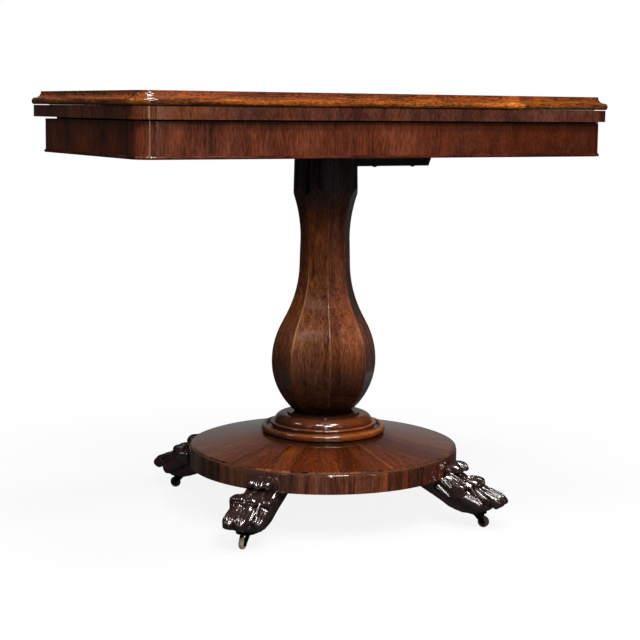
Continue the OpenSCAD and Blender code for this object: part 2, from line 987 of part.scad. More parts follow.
module castor_wheel(place) {
  color([0.72, 0.55, 0.28])
  at_foot(place)
  translate([castor_reach + castor_trail, 0, wheel_radius])
  rotate([90, 0, 0])
  rotate_extrude($fn = 96)
  polygon([
    [axle_radius + fit, -wheel_width / 2],
    [wheel_radius * 0.45, -wheel_width / 2],
    [wheel_radius * 0.55, -wheel_width / 2 + 0.8],
    [wheel_radius * 0.75, -wheel_width / 2 + 0.8],
    [wheel_radius * 0.85, -wheel_width / 2 + 0.2],
    [wheel_radius - 0.8, -wheel_width / 2 + 0.2],
    [wheel_radius, -wheel_width / 2 + 1.2],
    [wheel_radius, wheel_width / 2 - 1.2],
    [wheel_radius - 0.8, wheel_width / 2 - 0.2],
    [wheel_radius * 0.85, wheel_width / 2 - 0.2],
    [wheel_radius * 0.75, wheel_width / 2 - 0.8],
    [wheel_radius * 0.55, wheel_width / 2 - 0.8],
    [wheel_radius * 0.45, wheel_width / 2],
    [axle_radius + fit, wheel_width / 2]
  ]);
}

// Leaves

// Outline of a leaf drawn in by inset at the front and sides
module leaf_outline(inset) {
  corner = corner_radius - inset;
  x = half_length - inset;
  front = -half_depth + inset;
  union() {
    translate([-x, front + corner])
    square([2 * x, back_edge - front - corner]);
    translate([-x + corner, front])
    square([2 * (x - corner), corner + 1]);
    for (side = [-1, 1]) {
      translate([side * (x - corner), front + corner])
      circle(r = corner, $fn = 60);
    }
  }
}

// The area covered by baize
module baize_area(shrink) {
  x = half_length - baize_border - shrink;
  front = -half_depth + baize_border + shrink;
  back = back_edge - baize_margin - shrink;
  translate([-x, front])
  square([2 * x, back - front]);
}

// Room for both hinges in a leaf's back edge, between two heights
module hinge_room(low, high) {
  for (side = [-1, 1]) {
    translate([side * hinge_offset - hinge_length / 2 - slip, 0, 0]) {
      translate([0, back_edge - hinge_plate - 0.1, low])
      cube([hinge_length + 2 * slip, hinge_plate + 1, high - low]);
      translate([0, hinge_y, hinge_z])
      rotate([0, 90, 0])
      cylinder(h = hinge_length + 2 * slip, r = knuckle_room, $fn = 40);
    }
  }
}

module lower_leaf() {
  color([0.32, 0.12, 0.06])
  difference() {
    translate([0, 0, lower_base])
    linear_extrude(height = lower_thick)
    leaf_outline(0);
    translate([0, 0, lower_top - baize_thick])
    linear_extrude(height = baize_thick + 1)
    baize_area(0);
    hinge_room(lower_top + leaf_gap / 2 - hinge_leaf - slip, lower_top + 1);
    hinge_screw_places(-1)
    cylinder(h = hinge_plate + hinge_screw_length + 2, r = screw_radius + fit, $fn = 24);
    translate([pivot_x - pivot_plate_length / 2, pivot_y - pivot_plate_width / 2, lower_base - 1])
    cube([pivot_plate_length, pivot_plate_width, pivot_plate_thick + 1]);
    translate([pivot_x, pivot_y, lower_base + pivot_plate_thick - 1])
    cylinder(h = bolt_head + 1.5, r = pivot_radius + 5 + slip, $fn = 48);
    plate_screw_places()
    translate([0, 0, lower_base])
    cylinder(h = 13, r = wood_screw + fit, $fn = 24);
    translate([pivot_x, pivot_y - peg_reach, lower_base - 1])
    cylinder(h = peg_seat + 1.5, r = peg_radius + fit, $fn = 40);
  }
}

module lower_baize() {
  color([0.1, 0.24, 0.13])
  translate([0, 0, lower_top - baize_thick])
  linear_extrude(height = baize_thick + baize_rise)
  baize_area(0);
}

module plate_screw_places() {
  for (sx = [-1, 1]) {
    for (sy = [-1, 1]) {
      translate([pivot_x + sx * plate_screw_x, pivot_y + sy * plate_screw_y, 0])
      children();
    }
  }
}

module pivot_plate() {
  color([0.3, 0.29, 0.28])
  difference() {
    translate([pivot_x - pivot_plate_length / 2, pivot_y - pivot_plate_width / 2, lower_base])
    cube([pivot_plate_length, pivot_plate_width, pivot_plate_thick]);
    translate([pivot_x, pivot_y, lower_base - 1])
    cylinder(h = pivot_plate_thick + 2, r = pivot_radius + fit, $fn = 48);
    plate_screw_places()
    translate([0, 0, lower_base - 0.01])
    cylinder(h = pivot_plate_thick + 0.02, r1 = wood_head + fit, r2 = wood_screw + fit, $fn = 24);
  }
}

module pivot_bolt() {
  color([0.35, 0.34, 0.33])
  translate([pivot_x, pivot_y, 0])
  union() {
    translate([0, 0, lower_base + pivot_plate_thick])
    cylinder(h = bolt_head, r = pivot_radius + 5, $fn = 6);
    translate([0, 0, bolt_end])
    cylinder(h = lower_base + pivot_plate_thick - bolt_end, r = pivot_radius, $fn = 48);
  }
}

module pivot_nut() {
  color([0.4, 0.39, 0.37])
  translate([pivot_x, pivot_y, frame_top - pivot_board_thick - slip])
  difference() {
    union() {
      translate([0, 0, -washer_thick])
      cylinder(h = washer_thick, r = 2.4 * pivot_radius, $fn = 48);
      translate([0, 0, -washer_thick - nut_height])
      cylinder(h = nut_height, r = 1.8 * pivot_radius, $fn = 6);
    }
    translate([0, 0, -washer_thick - nut_height - 1])
    cylinder(h = washer_thick + nut_height + 2, r = pivot_radius + fit, $fn = 48);
  }
}

module plate_screws() {
  color([0.4, 0.38, 0.35])
  plate_screw_places() {
    translate([0, 0, lower_base])
    cylinder(h = pivot_plate_thick, r1 = wood_head, r2 = wood_screw, $fn = 24);
    translate([0, 0, lower_base + pivot_plate_thick])
    cylinder(h = 9, r = wood_screw, $fn = 24);
  }
}

module stop_peg() {
  color([0.35, 0.2, 0.1])
  translate([pivot_x, pivot_y - peg_reach, lower_base - peg_length])
  cylinder(h = peg_length + peg_seat, r = peg_radius, $fn = 40);
}

// Screw places in the back edge; direction is -1 for the lower leaf, 1 for the
// upper one. The screw's own z axis points into the leaf.
module hinge_screw_places(direction) {
  for (side = [-1, 1]) {
    for (along = [-1, 1]) {
      translate([side * hinge_offset + along * hinge_screw_x, back_edge, hinge_z + direction * hinge_screw_z])
      rotate([90, 0, 0])
      children();
    }
  }
}

// Plates and knuckles of both hinges. Part 0 has the two outer knuckles, part 1
// the middle one.
module hinge_half(direction, part) {
  for (side = [-1, 1]) {
    translate([side * hinge_offset - hinge_length / 2, 0, 0])
    difference() {
      union() {
        translate([0, back_edge - hinge_plate, min(hinge_z, hinge_z + direction * hinge_leaf)])
        cube([hinge_length, hinge_plate, hinge_leaf]);
        if (part == 0) {
          knuckle(0, knuckle_radius);
          knuckle(2 * knuckle_part, knuckle_radius);
        } else {
          knuckle(knuckle_part, knuckle_radius);
        }
      }
      if (part == 0) {
        knuckle_cut(knuckle_part);
      } else {
        knuckle_cut(0);
        knuckle_cut(2 * knuckle_part);
      }
      translate([-1, hinge_y, hinge_z])
      rotate([0, 90, 0])
      cylinder(h = hinge_length + 2, r = hinge_pin + fit, $fn = 32);
    }
  }
}

module knuckle(start, r) {
  translate([start, hinge_y, hinge_z])
  rotate([0, 90, 0])
  cylinder(h = knuckle_part, r = r, $fn = 40);
}

// Room around the other half's knuckle
module knuckle_cut(start) {
  translate([start - slip / 2, hinge_y, hinge_z])
  rotate([0, 90, 0])
  cylinder(h = knuckle_part + slip, r = knuckle_room, $fn = 40);
}

module hinges_lower() {
  color([0.66, 0.5, 0.24])
  difference() {
    hinge_half(-1, 0);
    hinge_screw_places(-1)
    translate([0, 0, -0.01])
    cylinder(h = hinge_plate + 0.02, r1 = screw_head + fit, r2 = screw_radius + fit, $fn = 24);
  }
}

module hinges_upper() {
  color([0.66, 0.5, 0.24])
  difference() {
    hinge_half(1, 1);
    hinge_screw_places(1)
    translate([0, 0, -0.01])
    cylinder(h = hinge_plate + 0.02, r1 = screw_head + fit, r2 = screw_radius + fit, $fn = 24);
  }
}

module hinge_pins() {
  color([0.6, 0.46, 0.22])
  for (side = [-1, 1]) {
    translate([side * hinge_offset - hinge_length / 2, hinge_y, hinge_z])
    rotate([0, 90, 0])
    cylinder(h = hinge_length, r = hinge_pin, $fn = 32);
  }
}

module hinge_screw_set(direction) {
  hinge_screw_places(direction) {
    cylinder(h = hinge_plate, r1 = screw_head, r2 = screw_radius, $fn = 24);
    translate([0, 0, hinge_plate])
    cylinder(h = hinge_screw_length, r = screw_radius, $fn = 24);
  }
}

module hinge_screws_lower() {
  color([0.6, 0.46, 0.22])
  hinge_screw_set(-1);
}

module hinge_screws_upper() {
  color([0.6, 0.46, 0.22])
  hinge_screw_set(1);
}

module upper_leaf() {
  color([0.34, 0.13, 0.07])
  difference() {
    translate([0, 0, upper_base])
    linear_extrude(height = upper_thick)
    leaf_outline(strip_inside);
    translate([0, 0, upper_base - 1])
    linear_extrude(height = baize_thick + 1)
    baize_area(0);
    hinge_room(upper_base - 1, hinge_z + hinge_leaf + slip);
    hinge_screw_places(1)
    cylinder(h = hinge_plate + hinge_screw_length + 2, r = screw_radius + fit, $fn = 24);
  }
}

module upper_baize() {
  color([0.1, 0.24, 0.13])
  translate([0, 0, upper_base - baize_rise])
  linear_extrude(height = baize_thick + baize_rise)
  baize_area(0);
}

// Section of the edge moulding: a hollow under the flat top runs out into a round nose
module moulding_profile() {
  nose_x = nose_out - nose_radius;
  nose_z = table_height - hollow_radius - nose_radius;
  difference() {
    union() {
      translate([-strip_inside, upper_base])
      square([strip_inside + nose_x, upper_thick]);
      intersection() {
        translate([nose_x, nose_z])
        circle(r = nose_radius, $fn = 60);
        translate([nose_x - nose_radius, upper_base])
        square([2 * nose_radius, upper_thick]);
      }
    }
    translate([nose_x, table_height])
    circle(r = hollow_radius, $fn = 60);
  }
}

module moulding_front() {
  color([0.46, 0.19, 0.07])
  sweep_front(half_length, -half_depth, corner_radius)
  moulding_profile();
}

module moulding_side() {
  translate([half_length, back_edge, 0])
  rotate([90, 0, 0])
  linear_extrude(height = back_edge + half_depth - corner_radius)
  moulding_profile();
}

module moulding_right() {
  color([0.44, 0.18, 0.07])
  moulding_side();
}

module moulding_left() {
  color([0.44, 0.18, 0.07])
  mirror([1, 0, 0])
  moulding_side();
}

platform_core();
platform_veneer_light();
platform_veneer_dark();
platform_border();
platform_rim();
collar_ring();
collar_boss();
column();
column_wedge();
bearer();
stand_screws();
base_board();
frieze_front();
frieze_back();
frieze_left();
frieze_right();
corner_blocks();
frieze_veneer();
bead_moulding();
well_partition();
well_floor();
well_lining();
pivot_board();
slide_pads();
paw(1);  // paw_1
paw(2);  // paw_2
paw(3);  // paw_3
paw(4);  // paw_4
castor_plate(1);  // castor_plate_1
castor_plate(2);  // castor_plate_2
castor_plate(3);  // castor_plate_3
castor_plate(4);  // castor_plate_4
castor_screws();
lower_leaf();
lower_baize();
pivot_plate();
pivot_bolt();
pivot_nut();
plate_screws();
stop_peg();
hinges_lower();
hinge_pins();
hinge_screws_lower();
upper_leaf();
moulding_front();
moulding_left();
moulding_right();
upper_baize();
hinges_upper();
hinge_screws_upper();
castor_fork(1);  // castor_fork_1
castor_fork(2);  // castor_fork_2
castor_fork(3);  // castor_fork_3
castor_fork(4);  // castor_fork_4
castor_wheel(1);  // castor_wheel_1
castor_wheel(2);  // castor_wheel_2
castor_wheel(3);  // castor_wheel_3
castor_wheel(4);  // castor_wheel_4
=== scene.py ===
import math

import bmesh
import bpy
import numpy as np
from mathutils import Matrix, Vector


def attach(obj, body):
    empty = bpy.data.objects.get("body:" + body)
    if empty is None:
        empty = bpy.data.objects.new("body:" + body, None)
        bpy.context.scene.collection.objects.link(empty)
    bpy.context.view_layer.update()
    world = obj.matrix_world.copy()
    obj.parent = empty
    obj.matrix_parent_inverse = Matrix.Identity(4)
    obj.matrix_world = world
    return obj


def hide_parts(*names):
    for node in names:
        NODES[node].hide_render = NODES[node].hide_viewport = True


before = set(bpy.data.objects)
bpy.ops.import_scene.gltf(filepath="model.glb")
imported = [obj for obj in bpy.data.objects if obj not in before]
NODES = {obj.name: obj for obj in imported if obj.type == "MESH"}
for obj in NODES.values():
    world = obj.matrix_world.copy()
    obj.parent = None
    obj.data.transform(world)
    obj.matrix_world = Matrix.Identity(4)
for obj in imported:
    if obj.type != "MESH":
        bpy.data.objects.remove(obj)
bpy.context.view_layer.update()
scene = bpy.context.scene

# The platform's rim as the solids have it, in millimetres
RIM_RADIUS, RIM_TOP, RIM_FOOT = 240.0, 116.8, 81.8

# ---------------------------------------------------------------- camera

# Solved from the places of twenty of the object's edges in the photograph
CAMERA_PLACE = (-1.33416, -2.34338, 0.71506)
YAW, PITCH, ROLL = math.radians(29.48), math.radians(6.59), math.radians(0.60)
# The camera's directions over the floor: away from it, and to the right across the picture
AHEAD, RIGHT = (0.49, 0.87), (0.87, -0.49)

scene.view_settings.view_transform = "Standard"
camera_data = bpy.data.cameras.new("camera")
camera_data.sensor_fit = "HORIZONTAL"
camera_data.sensor_width = 36.0
camera_data.lens = 85.69
camera_data.shift_y = -0.05548
camera_data.clip_end = 60.0
camera = bpy.data.objects.new("camera", camera_data)
scene.collection.objects.link(camera)
turn = (Matrix.Rotation(-YAW, 4, "Z") @ Matrix.Rotation(math.pi / 2 - PITCH, 4, "X")
        @ Matrix.Rotation(ROLL, 4, "Z"))
camera.matrix_world = Matrix.Translation(CAMERA_PLACE) @ turn
scene.camera = camera

# ---------------------------------------------------------------- shader graphs

class Graph:
    """The node tree of a material or a world. Most methods add a node or two and return what comes out."""

    def __init__(self, name, owner=None):
        self.material = owner or bpy.data.materials.new(name)
        self.material.use_nodes = True
        self.tree = self.material.node_tree
        self.tree.nodes.clear()

    def node(self, kind, inputs=None, **settings):
        made = self.tree.nodes.new(kind)
        for key, value in settings.items():
            setattr(made, key, value)
        for key, value in (inputs or {}).items():
            self.put(made.inputs[key], value)
        return made

    def put(self, socket, value):
        """Links another node's output to a socket, or sets a constant on the socket itself."""
        if isinstance(value, bpy.types.NodeSocket):
            self.tree.links.new(value, socket)
        else:
            socket.default_value = value

    def math(self, operation, *values):
        made = self.node("ShaderNodeMath", operation=operation)
        for i, value in enumerate(values):
            self.put(made.inputs[i], value)
        return made.outputs[0]

    def add(self, a, b):
        return self.math("ADD", a, b)

    def less(self, a, b):
        return self.math("SUBTRACT", a, b)

    def times(self, a, b):
        return self.math("MULTIPLY", a, b)

    def radius(self, x, y):
        return self.math("SQRT", self.add(self.times(x, x), self.times(y, y)))

    def bearing(self, x, y):
        """The direction from the table's axis, as a share of a full turn that begins at -X."""
        return self.math("DIVIDE", self.add(self.math("ARCTAN2", y, x), math.pi), 2 * math.pi)

    def tint(self, colour, by):
        """A colour multiplied by another."""
        return self.mix(1.0, colour, by, "MULTIPLY")

    def spread(self, value, low, high, first, last):
        """One number up to low, another from high, and evenly from one to the other between them."""
        return self.node("ShaderNodeMapRange", {"Value": value, "From Min": low, "From Max": high,
                                                "To Min": first, "To Max": last}).outputs[0]

    def blend(self, share, a, b):
        """A node that mixes two shader nodes."""
        return self.node("ShaderNodeMixShader", {0: share, 1: a.outputs[0], 2: b.outputs[0]})

    def place(self):
        return self.node("ShaderNodeTexCoord").outputs["Object"]

    def split(self, vector):
        made = self.node("ShaderNodeSeparateXYZ", {0: vector})
        return made.outputs[0], made.outputs[1], made.outputs[2]

    def join(self, x, y, z):
        return self.node("ShaderNodeCombineXYZ", {0: x, 1: y, 2: z}).outputs[0]

    def scaled(self, vector, scale, shift=(0, 0, 0)):
        made = self.node("ShaderNodeMapping", {"Vector": vector, "Scale": scale, "Location": shift})
        return made.outputs[0]

    def noise(self, vector, scale, detail=3.0, rough=0.55, warp=0.0):
        made = self.node("ShaderNodeTexNoise", {"Vector": vector, "Scale": scale, "Detail": detail,
                                                "Roughness": rough, "Distortion": warp})
        return made.outputs["Fac"]

    def ramp(self, value, *stops, mode="LINEAR"):
        made = self.node("ShaderNodeValToRGB", {"Fac": value})
        made.color_ramp.interpolation = mode
        line = made.color_ramp.elements
        while len(line) < len(stops):
            line.new(0.5)
        for element, (at, colour) in zip(line, stops):
            element.position = at
            if isinstance(colour, (int, float)):
                colour = (colour, colour, colour)
            element.color = (*colour, 1.0)
        return made.outputs["Color"]

    def mix(self, factor, a, b, how="MIX"):
        made = self.node("ShaderNodeMix", data_type="RGBA", blend_type=how)
        self.put(made.inputs[0], factor)
        for index, value in ((6, a), (7, b)):
            if isinstance(value, tuple) and len(value) == 3:
                value = (*value, 1.0)
            self.put(made.inputs[index], value)
        return made.outputs[2]

    def bump(self, height, strength, distance):
        return self.node("ShaderNodeBump", {"Height": height, "Strength": strength,
                                            "Distance": distance}).outputs[0]

    def finish(self, **inputs):
        shader = self.node("ShaderNodeBsdfPrincipled")
        for key, value in inputs.items():
            self.put(shader.inputs[key.replace("_", " ")], value)
        self.node("ShaderNodeOutputMaterial", {"Surface": shader.outputs[0]})
        return self.material


# ---------------------------------------------------------------- wood

# The order of the axes that puts the grain's own first
GRAIN_FIRST = {"x": (0, 1, 2), "y": (1, 0, 2), "z": (2, 0, 1)}


def along_grain(g, run, cells=0, offset=0.0):
    """Returns coordinates with the grain along their first axis, in metres, and a number for each sheet.

    The grain runs along an axis, up the round rim, or outwards in each of a number of radiating sheets.
    """
    place = g.split(g.place())
    if run in GRAIN_FIRST:
        return g.join(*(place[k] for k in GRAIN_FIRST[run])), 0.0
    x, y, z = place
    angle, reach = g.math("ARCTAN2", y, x), g.radius(x, y)
    if run == "round":
        return g.join(z, g.times(angle, RIM_RADIUS / 1000), reach), 0.0
    # the added hundred keeps the sheets' numbers above zero
    turned = g.add(g.math("DIVIDE", angle, 2 * math.pi / cells), offset + 100.0)
    cell = g.math("FLOOR", turned)
    inner = g.times(g.less(g.less(turned, cell), 0.5), 2 * math.pi / cells)
    u, v = g.times(reach, g.math("COSINE", inner)), g.times(reach, g.math("SINE", inner))
    return g.join(u, v, g.times(cell, 0.37)), cell


def tones(middle, light):
    """The colours of one wood from its darkest vein to its lightest figure, around the middle one."""
    def step(amount, tint):
        return tuple(m * (1 + (t - 1) * abs(amount - 1)) * amount for m, t in zip(middle, tint))
    dark = (1.0, 1.0, 1.1)
    return ((0.08, step(0.10, dark)), (0.30, step(0.42, dark)), (0.50, middle), (0.70, step(1.75, light)),
            (0.92, step(2.8, light)))


def rosewood(name, run, middle, figure=(26.0, 3.0, 0.9), streak=(110.0, 8.0, 0.6), grain=(420.0, 60.0, 0.7),
             veins=0.3, pores=0.35, cells=0, offset=0.0, cell_tone=0.0, seed=0.0, light=(1.0, 1.1, 1.05),
             wave=0.02, blush=0.6, polish=0.06, coat=1.0, coat_ior=1.5, ripple=0.10, extra=None, shade=None):
    """French-polished rosewood.

    figure, streak and grain each have their cycles a metre across and along the grain, and their strength.
    wave bends the grain by so many metres, cell_tone sets neighbouring sheets apart, blush is how far the
    hue wanders, and ripple is how strongly the grain shows in the polish. extra changes the tone before it
    becomes a colour, and shade changes the colour.
    """
    g = Graph(name)
    place, cell = along_grain(g, run, cells, offset)
    drift = g.noise(g.scaled(place, (2.5, 7.0, 7.0), (seed, 0, 0)), 1.0, 2.0, 0.5)
    shift = g.times(g.less(drift, 0.5), wave)
    a, b, c = g.split(place)
    bent = g.join(a, g.add(b, shift), g.add(c, shift))
    tone = 0.5
    for k, (across, along, strength) in enumerate((figure, streak, grain)):
        layer = g.noise(g.scaled(bent, (along, across, across), (seed + k, seed, k)), 1.0, 2.0, 0.55, 0.3)
        tone = g.add(tone, g.times(g.less(layer, 0.5), strength))
    if cell_tone:
        chance = g.noise(g.join(g.times(cell, 7.31), seed + 3.7, 0.0), 1.0, 0.0)
        tone = g.add(tone, g.times(g.less(chance, 0.5), cell_tone))
    band = g.noise(g.scaled(bent, (2.5, 60.0, 60.0), (seed + 4, 0, seed)), 1.0, 3.0, 0.65, 0.6)
    tone = g.less(tone, g.times(g.ramp(band, (0.53, 0.0), (0.66, 1.0)), veins))
    hole = g.noise(g.scaled(bent, (130.0, 900.0, 900.0)), 1.0, 1.0)
    tone = g.less(tone, g.times(g.ramp(hole, (0.56, 0.0), (0.70, 1.0)), pores))
    if extra:
        tone = extra(g, tone)
    colour = g.ramp(tone, *tones(middle, light))
    hue = g.noise(g.scaled(bent, (2.2, 11.0, 11.0), (seed + 6, 0, 2)), 1.0, 2.0, 0.6, 0.8)
    hue = g.ramp(hue, (0.34, (0.88, 0.98, 1.30)), (0.50, (1.0, 1.0, 1.0)), (0.66, (1.16, 1.02, 0.68)))
    colour = g.mix(blush, colour, g.tint(colour, hue))
    if shade:
        colour = shade(g, colour)
    # the polish follows the finest layer of the grain, and swells a little
    sheen = g.noise(g.place(), 38.0, 3.0, 0.6)
    swell = g.add(g.times(layer, 0.5), g.times(sheen, 0.9))
    return g.finish(Base_Color=colour, Roughness=0.5, Specular_IOR_Level=0.05, Coat_Weight=coat,
                    Coat_Roughness=polish, Coat_IOR=coat_ior, Normal=g.bump(swell, ripple, 0.0010))


# Patches of painted light and shade on the column: the facets' ends round it, the height where the patch
# begins, is strongest and ends, and its tint
PAINTED_PATCHES = (
    (0.3125, 0.4375, (0.44, 0.54, 0.64), (0.45, 0.50, 0.80)),       # painted shade on the belly's right facet at the waist
    (0.1875, 0.3125, (0.26, 0.30, 0.42), (0.50, 0.50, 0.50)),       # painted shade on the foot in front
    (0.0, 0.1875, (0.66, 0.72, 0.80), (1.70, 1.50, 1.20)),          # painted light under the block on the left
)
# The stops for the column count heights in shares of this many metres
COLUMN_SPAN = 0.7


def column_shade(g, colour):
    """Painted shade under the frame and towards the foot, patches of painted light and shade, arrises worn
    pale with painted highlights; each facet has its own colour.
    """
    x, y, z = g.split(g.place())
    height, angle = g.math("DIVIDE", z, COLUMN_SPAN), g.bearing(x, y)
    # painted shade, darker under the frame where the top's shadow falls and towards the foot, with painted
    # light a little above the waist
    painted_shade = g.ramp(height, (0.27, 0.10), (0.35, 0.36), (0.46, 1.0), (0.54, 1.15), (0.66, 0.65), (0.74, 0.50),
                   (0.79, 0.24))
    side = g.ramp(angle, (0.0, (1.30, 1.05, 0.60)), (0.0625, (0.94, 0.80, 0.55)),
                  (0.1875, (0.98, 0.84, 0.94)), (0.3125, (0.85, 0.85, 1.0)), (0.4375, (1.0, 1.0, 1.0)),
                  (0.9375, (1.30, 1.05, 0.60)), mode="CONSTANT")
    side = g.mix(g.ramp(height, (0.44, 0.35), (0.52, 1.0)), (1.0, 1.0, 1.0), side)
    for low, high, (begins, strongest, ends), tint in PAINTED_PATCHES:
        here = g.ramp(angle, (0.0, float(low == 0.0)), (max(low, 0.002), 1.0), (high, 0.0), mode="CONSTANT")
        mark = g.ramp(height, (begins, (1.0, 1.0, 1.0)), (strongest, tint), (ends, (1.0, 1.0, 1.0)))
        side = g.mix(here, side, g.tint(side, mark))
    # an arris lies wherever this is a whole number; along the arrises the colour is painted paler in places,
    # partly wear and partly painted highlight
    turned = g.add(g.times(angle, 8.0), 0.5)
    near = g.math("ABSOLUTE", g.less(turned, g.math("ROUND", turned)))
    worn = g.times(g.ramp(near, (0.010, 1.0), (0.030, 0.0)),
                   g.ramp(g.noise(g.place(), 55.0, 2.0), (0.35, 0.2), (0.62, 1.0)))
    colour = g.mix(g.times(worn, 0.75), colour, (0.36, 0.13, 0.055))
    # a black vein on the belly's left
    streaked = g.noise(g.scaled(g.join(z, angle, 0.0), (20.0, 260.0, 1.0)), 1.0, 2.0)
    around, up = g.less(angle, 0.094), g.less(z, 0.432)
    vein = g.add(g.times(g.math("ABSOLUTE", g.add(around, g.times(up, 0.10))), 75.0),
                 g.times(g.math("ABSOLUTE", up), 26.0))
    vein = g.ramp(g.add(vein, g.times(streaked, 0.5)), (0.55, 0.75), (1.05, 0.0))
    colour = g.mix(vein, colour, (0.012, 0.007, 0.005))
    colour = g.tint(g.tint(colour, painted_shade), side)
    # painted highlight down the belly's left arris, which is also worn the most
    rubbed = g.times(g.ramp(g.math("ABSOLUTE", g.less(turned, 1.0)), (0.008, 1.0), (0.045, 0.0)),
                     g.ramp(height, (0.40, 0.0), (0.45, 1.0), (0.57, 0.9), (0.63, 0.0)))
    return g.mix(g.times(rubbed, 0.9), colour, (0.62, 0.27, 0.13))


def platform_shade(g, colour):
    """Each sheet's own tone, two joints with a pale strip of sapwood, and a painted contact shadow round the
    collar.
    """
    x, y, _ = g.split(g.place())
    tone = g.ramp(g.bearing(x, y), (0.0, (0.98, 0.95, 0.95)), (0.0639, (1.05, 1.0, 0.9)),
                  (0.100, (1.45, 1.55, 1.45)), (0.1278, (0.90, 0.84, 0.80)), (0.2495, (1.9, 2.1, 2.0)),
                  (0.2532, (0.85, 0.80, 0.85)), (0.34, (1.0, 1.0, 1.0)), (0.55, (0.85, 0.85, 0.9)),
                  (0.75, (1.1, 1.1, 1.0)), mode="CONSTANT")
    # a painted contact shadow round the collar, reaching furthest out in front
    near = g.radius(g.add(x, 0.012), g.add(y, 0.022))
    dirt_and_painted_shade = g.ramp(g.times(near, 5.0), (0.430, 0.07), (0.525, 0.42), (0.605, 0.82), (0.685, 1.0))
    return g.tint(g.tint(colour, tone), dirt_and_painted_shade)


def turned_shade(g, colour):
    """Painted shade in the quirks between the collar's rings, and painted shade on its left with painted
    light on its right.
    """
    x, y, _ = g.split(g.place())
    # painted shade in the quirks between the rings
    dirt_and_painted_shade = g.ramp(g.times(g.radius(x, y), 5.0), (0.325, 0.25), (0.345, 1.0), (0.434, 1.0), (0.443, 0.25),
                  (0.449, 1.0), (0.468, 1.0), (0.478, 0.08), (0.506, 0.08), (0.520, 1.0), (0.552, 1.0),
                  (0.559, 0.5))
    # painted shade on the collar's left and painted light on its right
    across = g.add(g.times(x, RIGHT[0] * 5), g.times(y, RIGHT[1] * 5))
    side = g.ramp(g.add(across, 0.5), (0.14, (0.50, 0.52, 0.60)), (0.45, (1.0, 1.0, 1.0)),
                  (0.80, (1.35, 1.25, 0.85)))
    return g.tint(g.tint(colour, dirt_and_painted_shade), side)


# The moulding's foot and its height, in metres
MOULDING_FOOT, MOULDING_HEIGHT = 0.7163, 0.0240


def painted_roll_light_and_shade(g, colour):
    """The roll of the moulding is painted paler, and the hollow above it and its foot darker: painted light
    and shade.
    """
    _, _, z = g.split(g.place())
    tint = g.ramp(g.math("DIVIDE", g.less(z, MOULDING_FOOT), MOULDING_HEIGHT), (0.04, (0.40, 0.40, 0.40)),
                  (0.20, (1.5, 1.8, 2.0)), (0.50, (1.65, 1.7, 1.0)), (0.72, (1.05, 0.85, 0.50)),
                  (1.0, (0.85, 0.80, 0.80)))
    return g.tint(colour, tint)


def along_table(g):
    """The place along the table's length, in metres, with 0.5 at its middle."""
    x, _, _ = g.split(g.place())
    return g.add(x, 0.5)


def moulding_shade(g, colour):
    """The moulding is pieced from several lengths along the front; one short piece is much paler. The roll's
    painted light and shade go on top.
    """
    pieces = g.ramp(along_table(g), (0.0, (0.88, 0.86, 0.78)), (0.31, (0.92, 0.90, 0.95)),
                    (0.46, (1.05, 1.05, 1.05)), (0.588, (0.90, 0.92, 0.95)), (0.7206, (1.45, 1.6, 1.8)),
                    (0.7542, (0.78, 0.84, 0.85)), mode="CONSTANT")
    return painted_roll_light_and_shade(g, g.tint(colour, pieces))


def rim_shade(g, colour):
    """The rim is dark at the left, and the sheets right of the front paw are redder."""
    x, y, _ = g.split(g.place())
    tone = g.ramp(g.bearing(x, y), (0.0, (0.72, 0.75, 0.75)), (0.1406, (1.10, 1.05, 0.95)),
                  (0.1708, (1.5, 1.3, 0.95)), (0.1947, (1.3, 1.1, 0.75)), (0.2322, (1.75, 1.4, 0.80)),
                  (0.268, (0.85, 0.62, 0.50)), (0.5, (1.0, 1.0, 1.0)), mode="CONSTANT")
    return g.tint(colour, tone)


def rim_sheets(g, tone):
    """The rim's veneer is laid in short lengths, and each has its own tone."""
    x, y, _ = g.split(g.place())
    sheet = g.math("FLOOR", g.times(g.math("ARCTAN2", y, x), 3.1))
    chance = g.noise(g.join(g.times(sheet, 5.13), 8.2, 0.0), 1.0, 0.0)
    return g.add(tone, g.times(g.less(chance, 0.5), 1.1))


def leaf_shade(g, colour):
    """The leaf's edge is more orange round the left corner."""
    tint = g.ramp(along_table(g), (0.025, (0.80, 0.78, 0.80)), (0.050, (1.25, 1.18, 0.85)),
                  (0.140, (1.25, 1.15, 0.80)), (0.210, (1.0, 1.0, 1.0)))
    return g.tint(colour, tint)


def frieze_mottle(g, tone):
    """Towards the right the veneer is cut from the burr: its lines give way to small clouds."""
    share = g.ramp(along_table(g), (0.52, 0.0), (0.66, 0.50))
    place = g.place()
    clouds = g.add(g.noise(g.scaled(place, (30.0, 30.0, 16.0)), 1.0, 4.0, 0.65),
                   g.times(g.noise(place, 210.0, 2.0, 0.6), 0.7))
    return g.add(tone, g.times(g.less(g.less(clouds, 0.36), tone), share))


def frieze_shade(g, colour):
    """The left side is painted darker, as painted shade; the veneer turns darker and yellower towards the
    right.
    """
    # the first stop is painted shade on the left side, where little light falls
    tint = g.ramp(along_table(g), (0.0505, (0.40, 0.33, 0.28)), (0.0560, (1.40, 1.15, 0.85)),
                  (0.066, (1.25, 1.10, 0.90)), (0.085, (1.08, 1.08, 1.12)), (0.50, (1.05, 0.98, 0.90)),
                  (0.66, (0.98, 0.86, 0.72)), (0.80, (0.70, 0.57, 0.40)), (1.0, (0.64, 0.52, 0.36)))
    return g.tint(colour, tint)


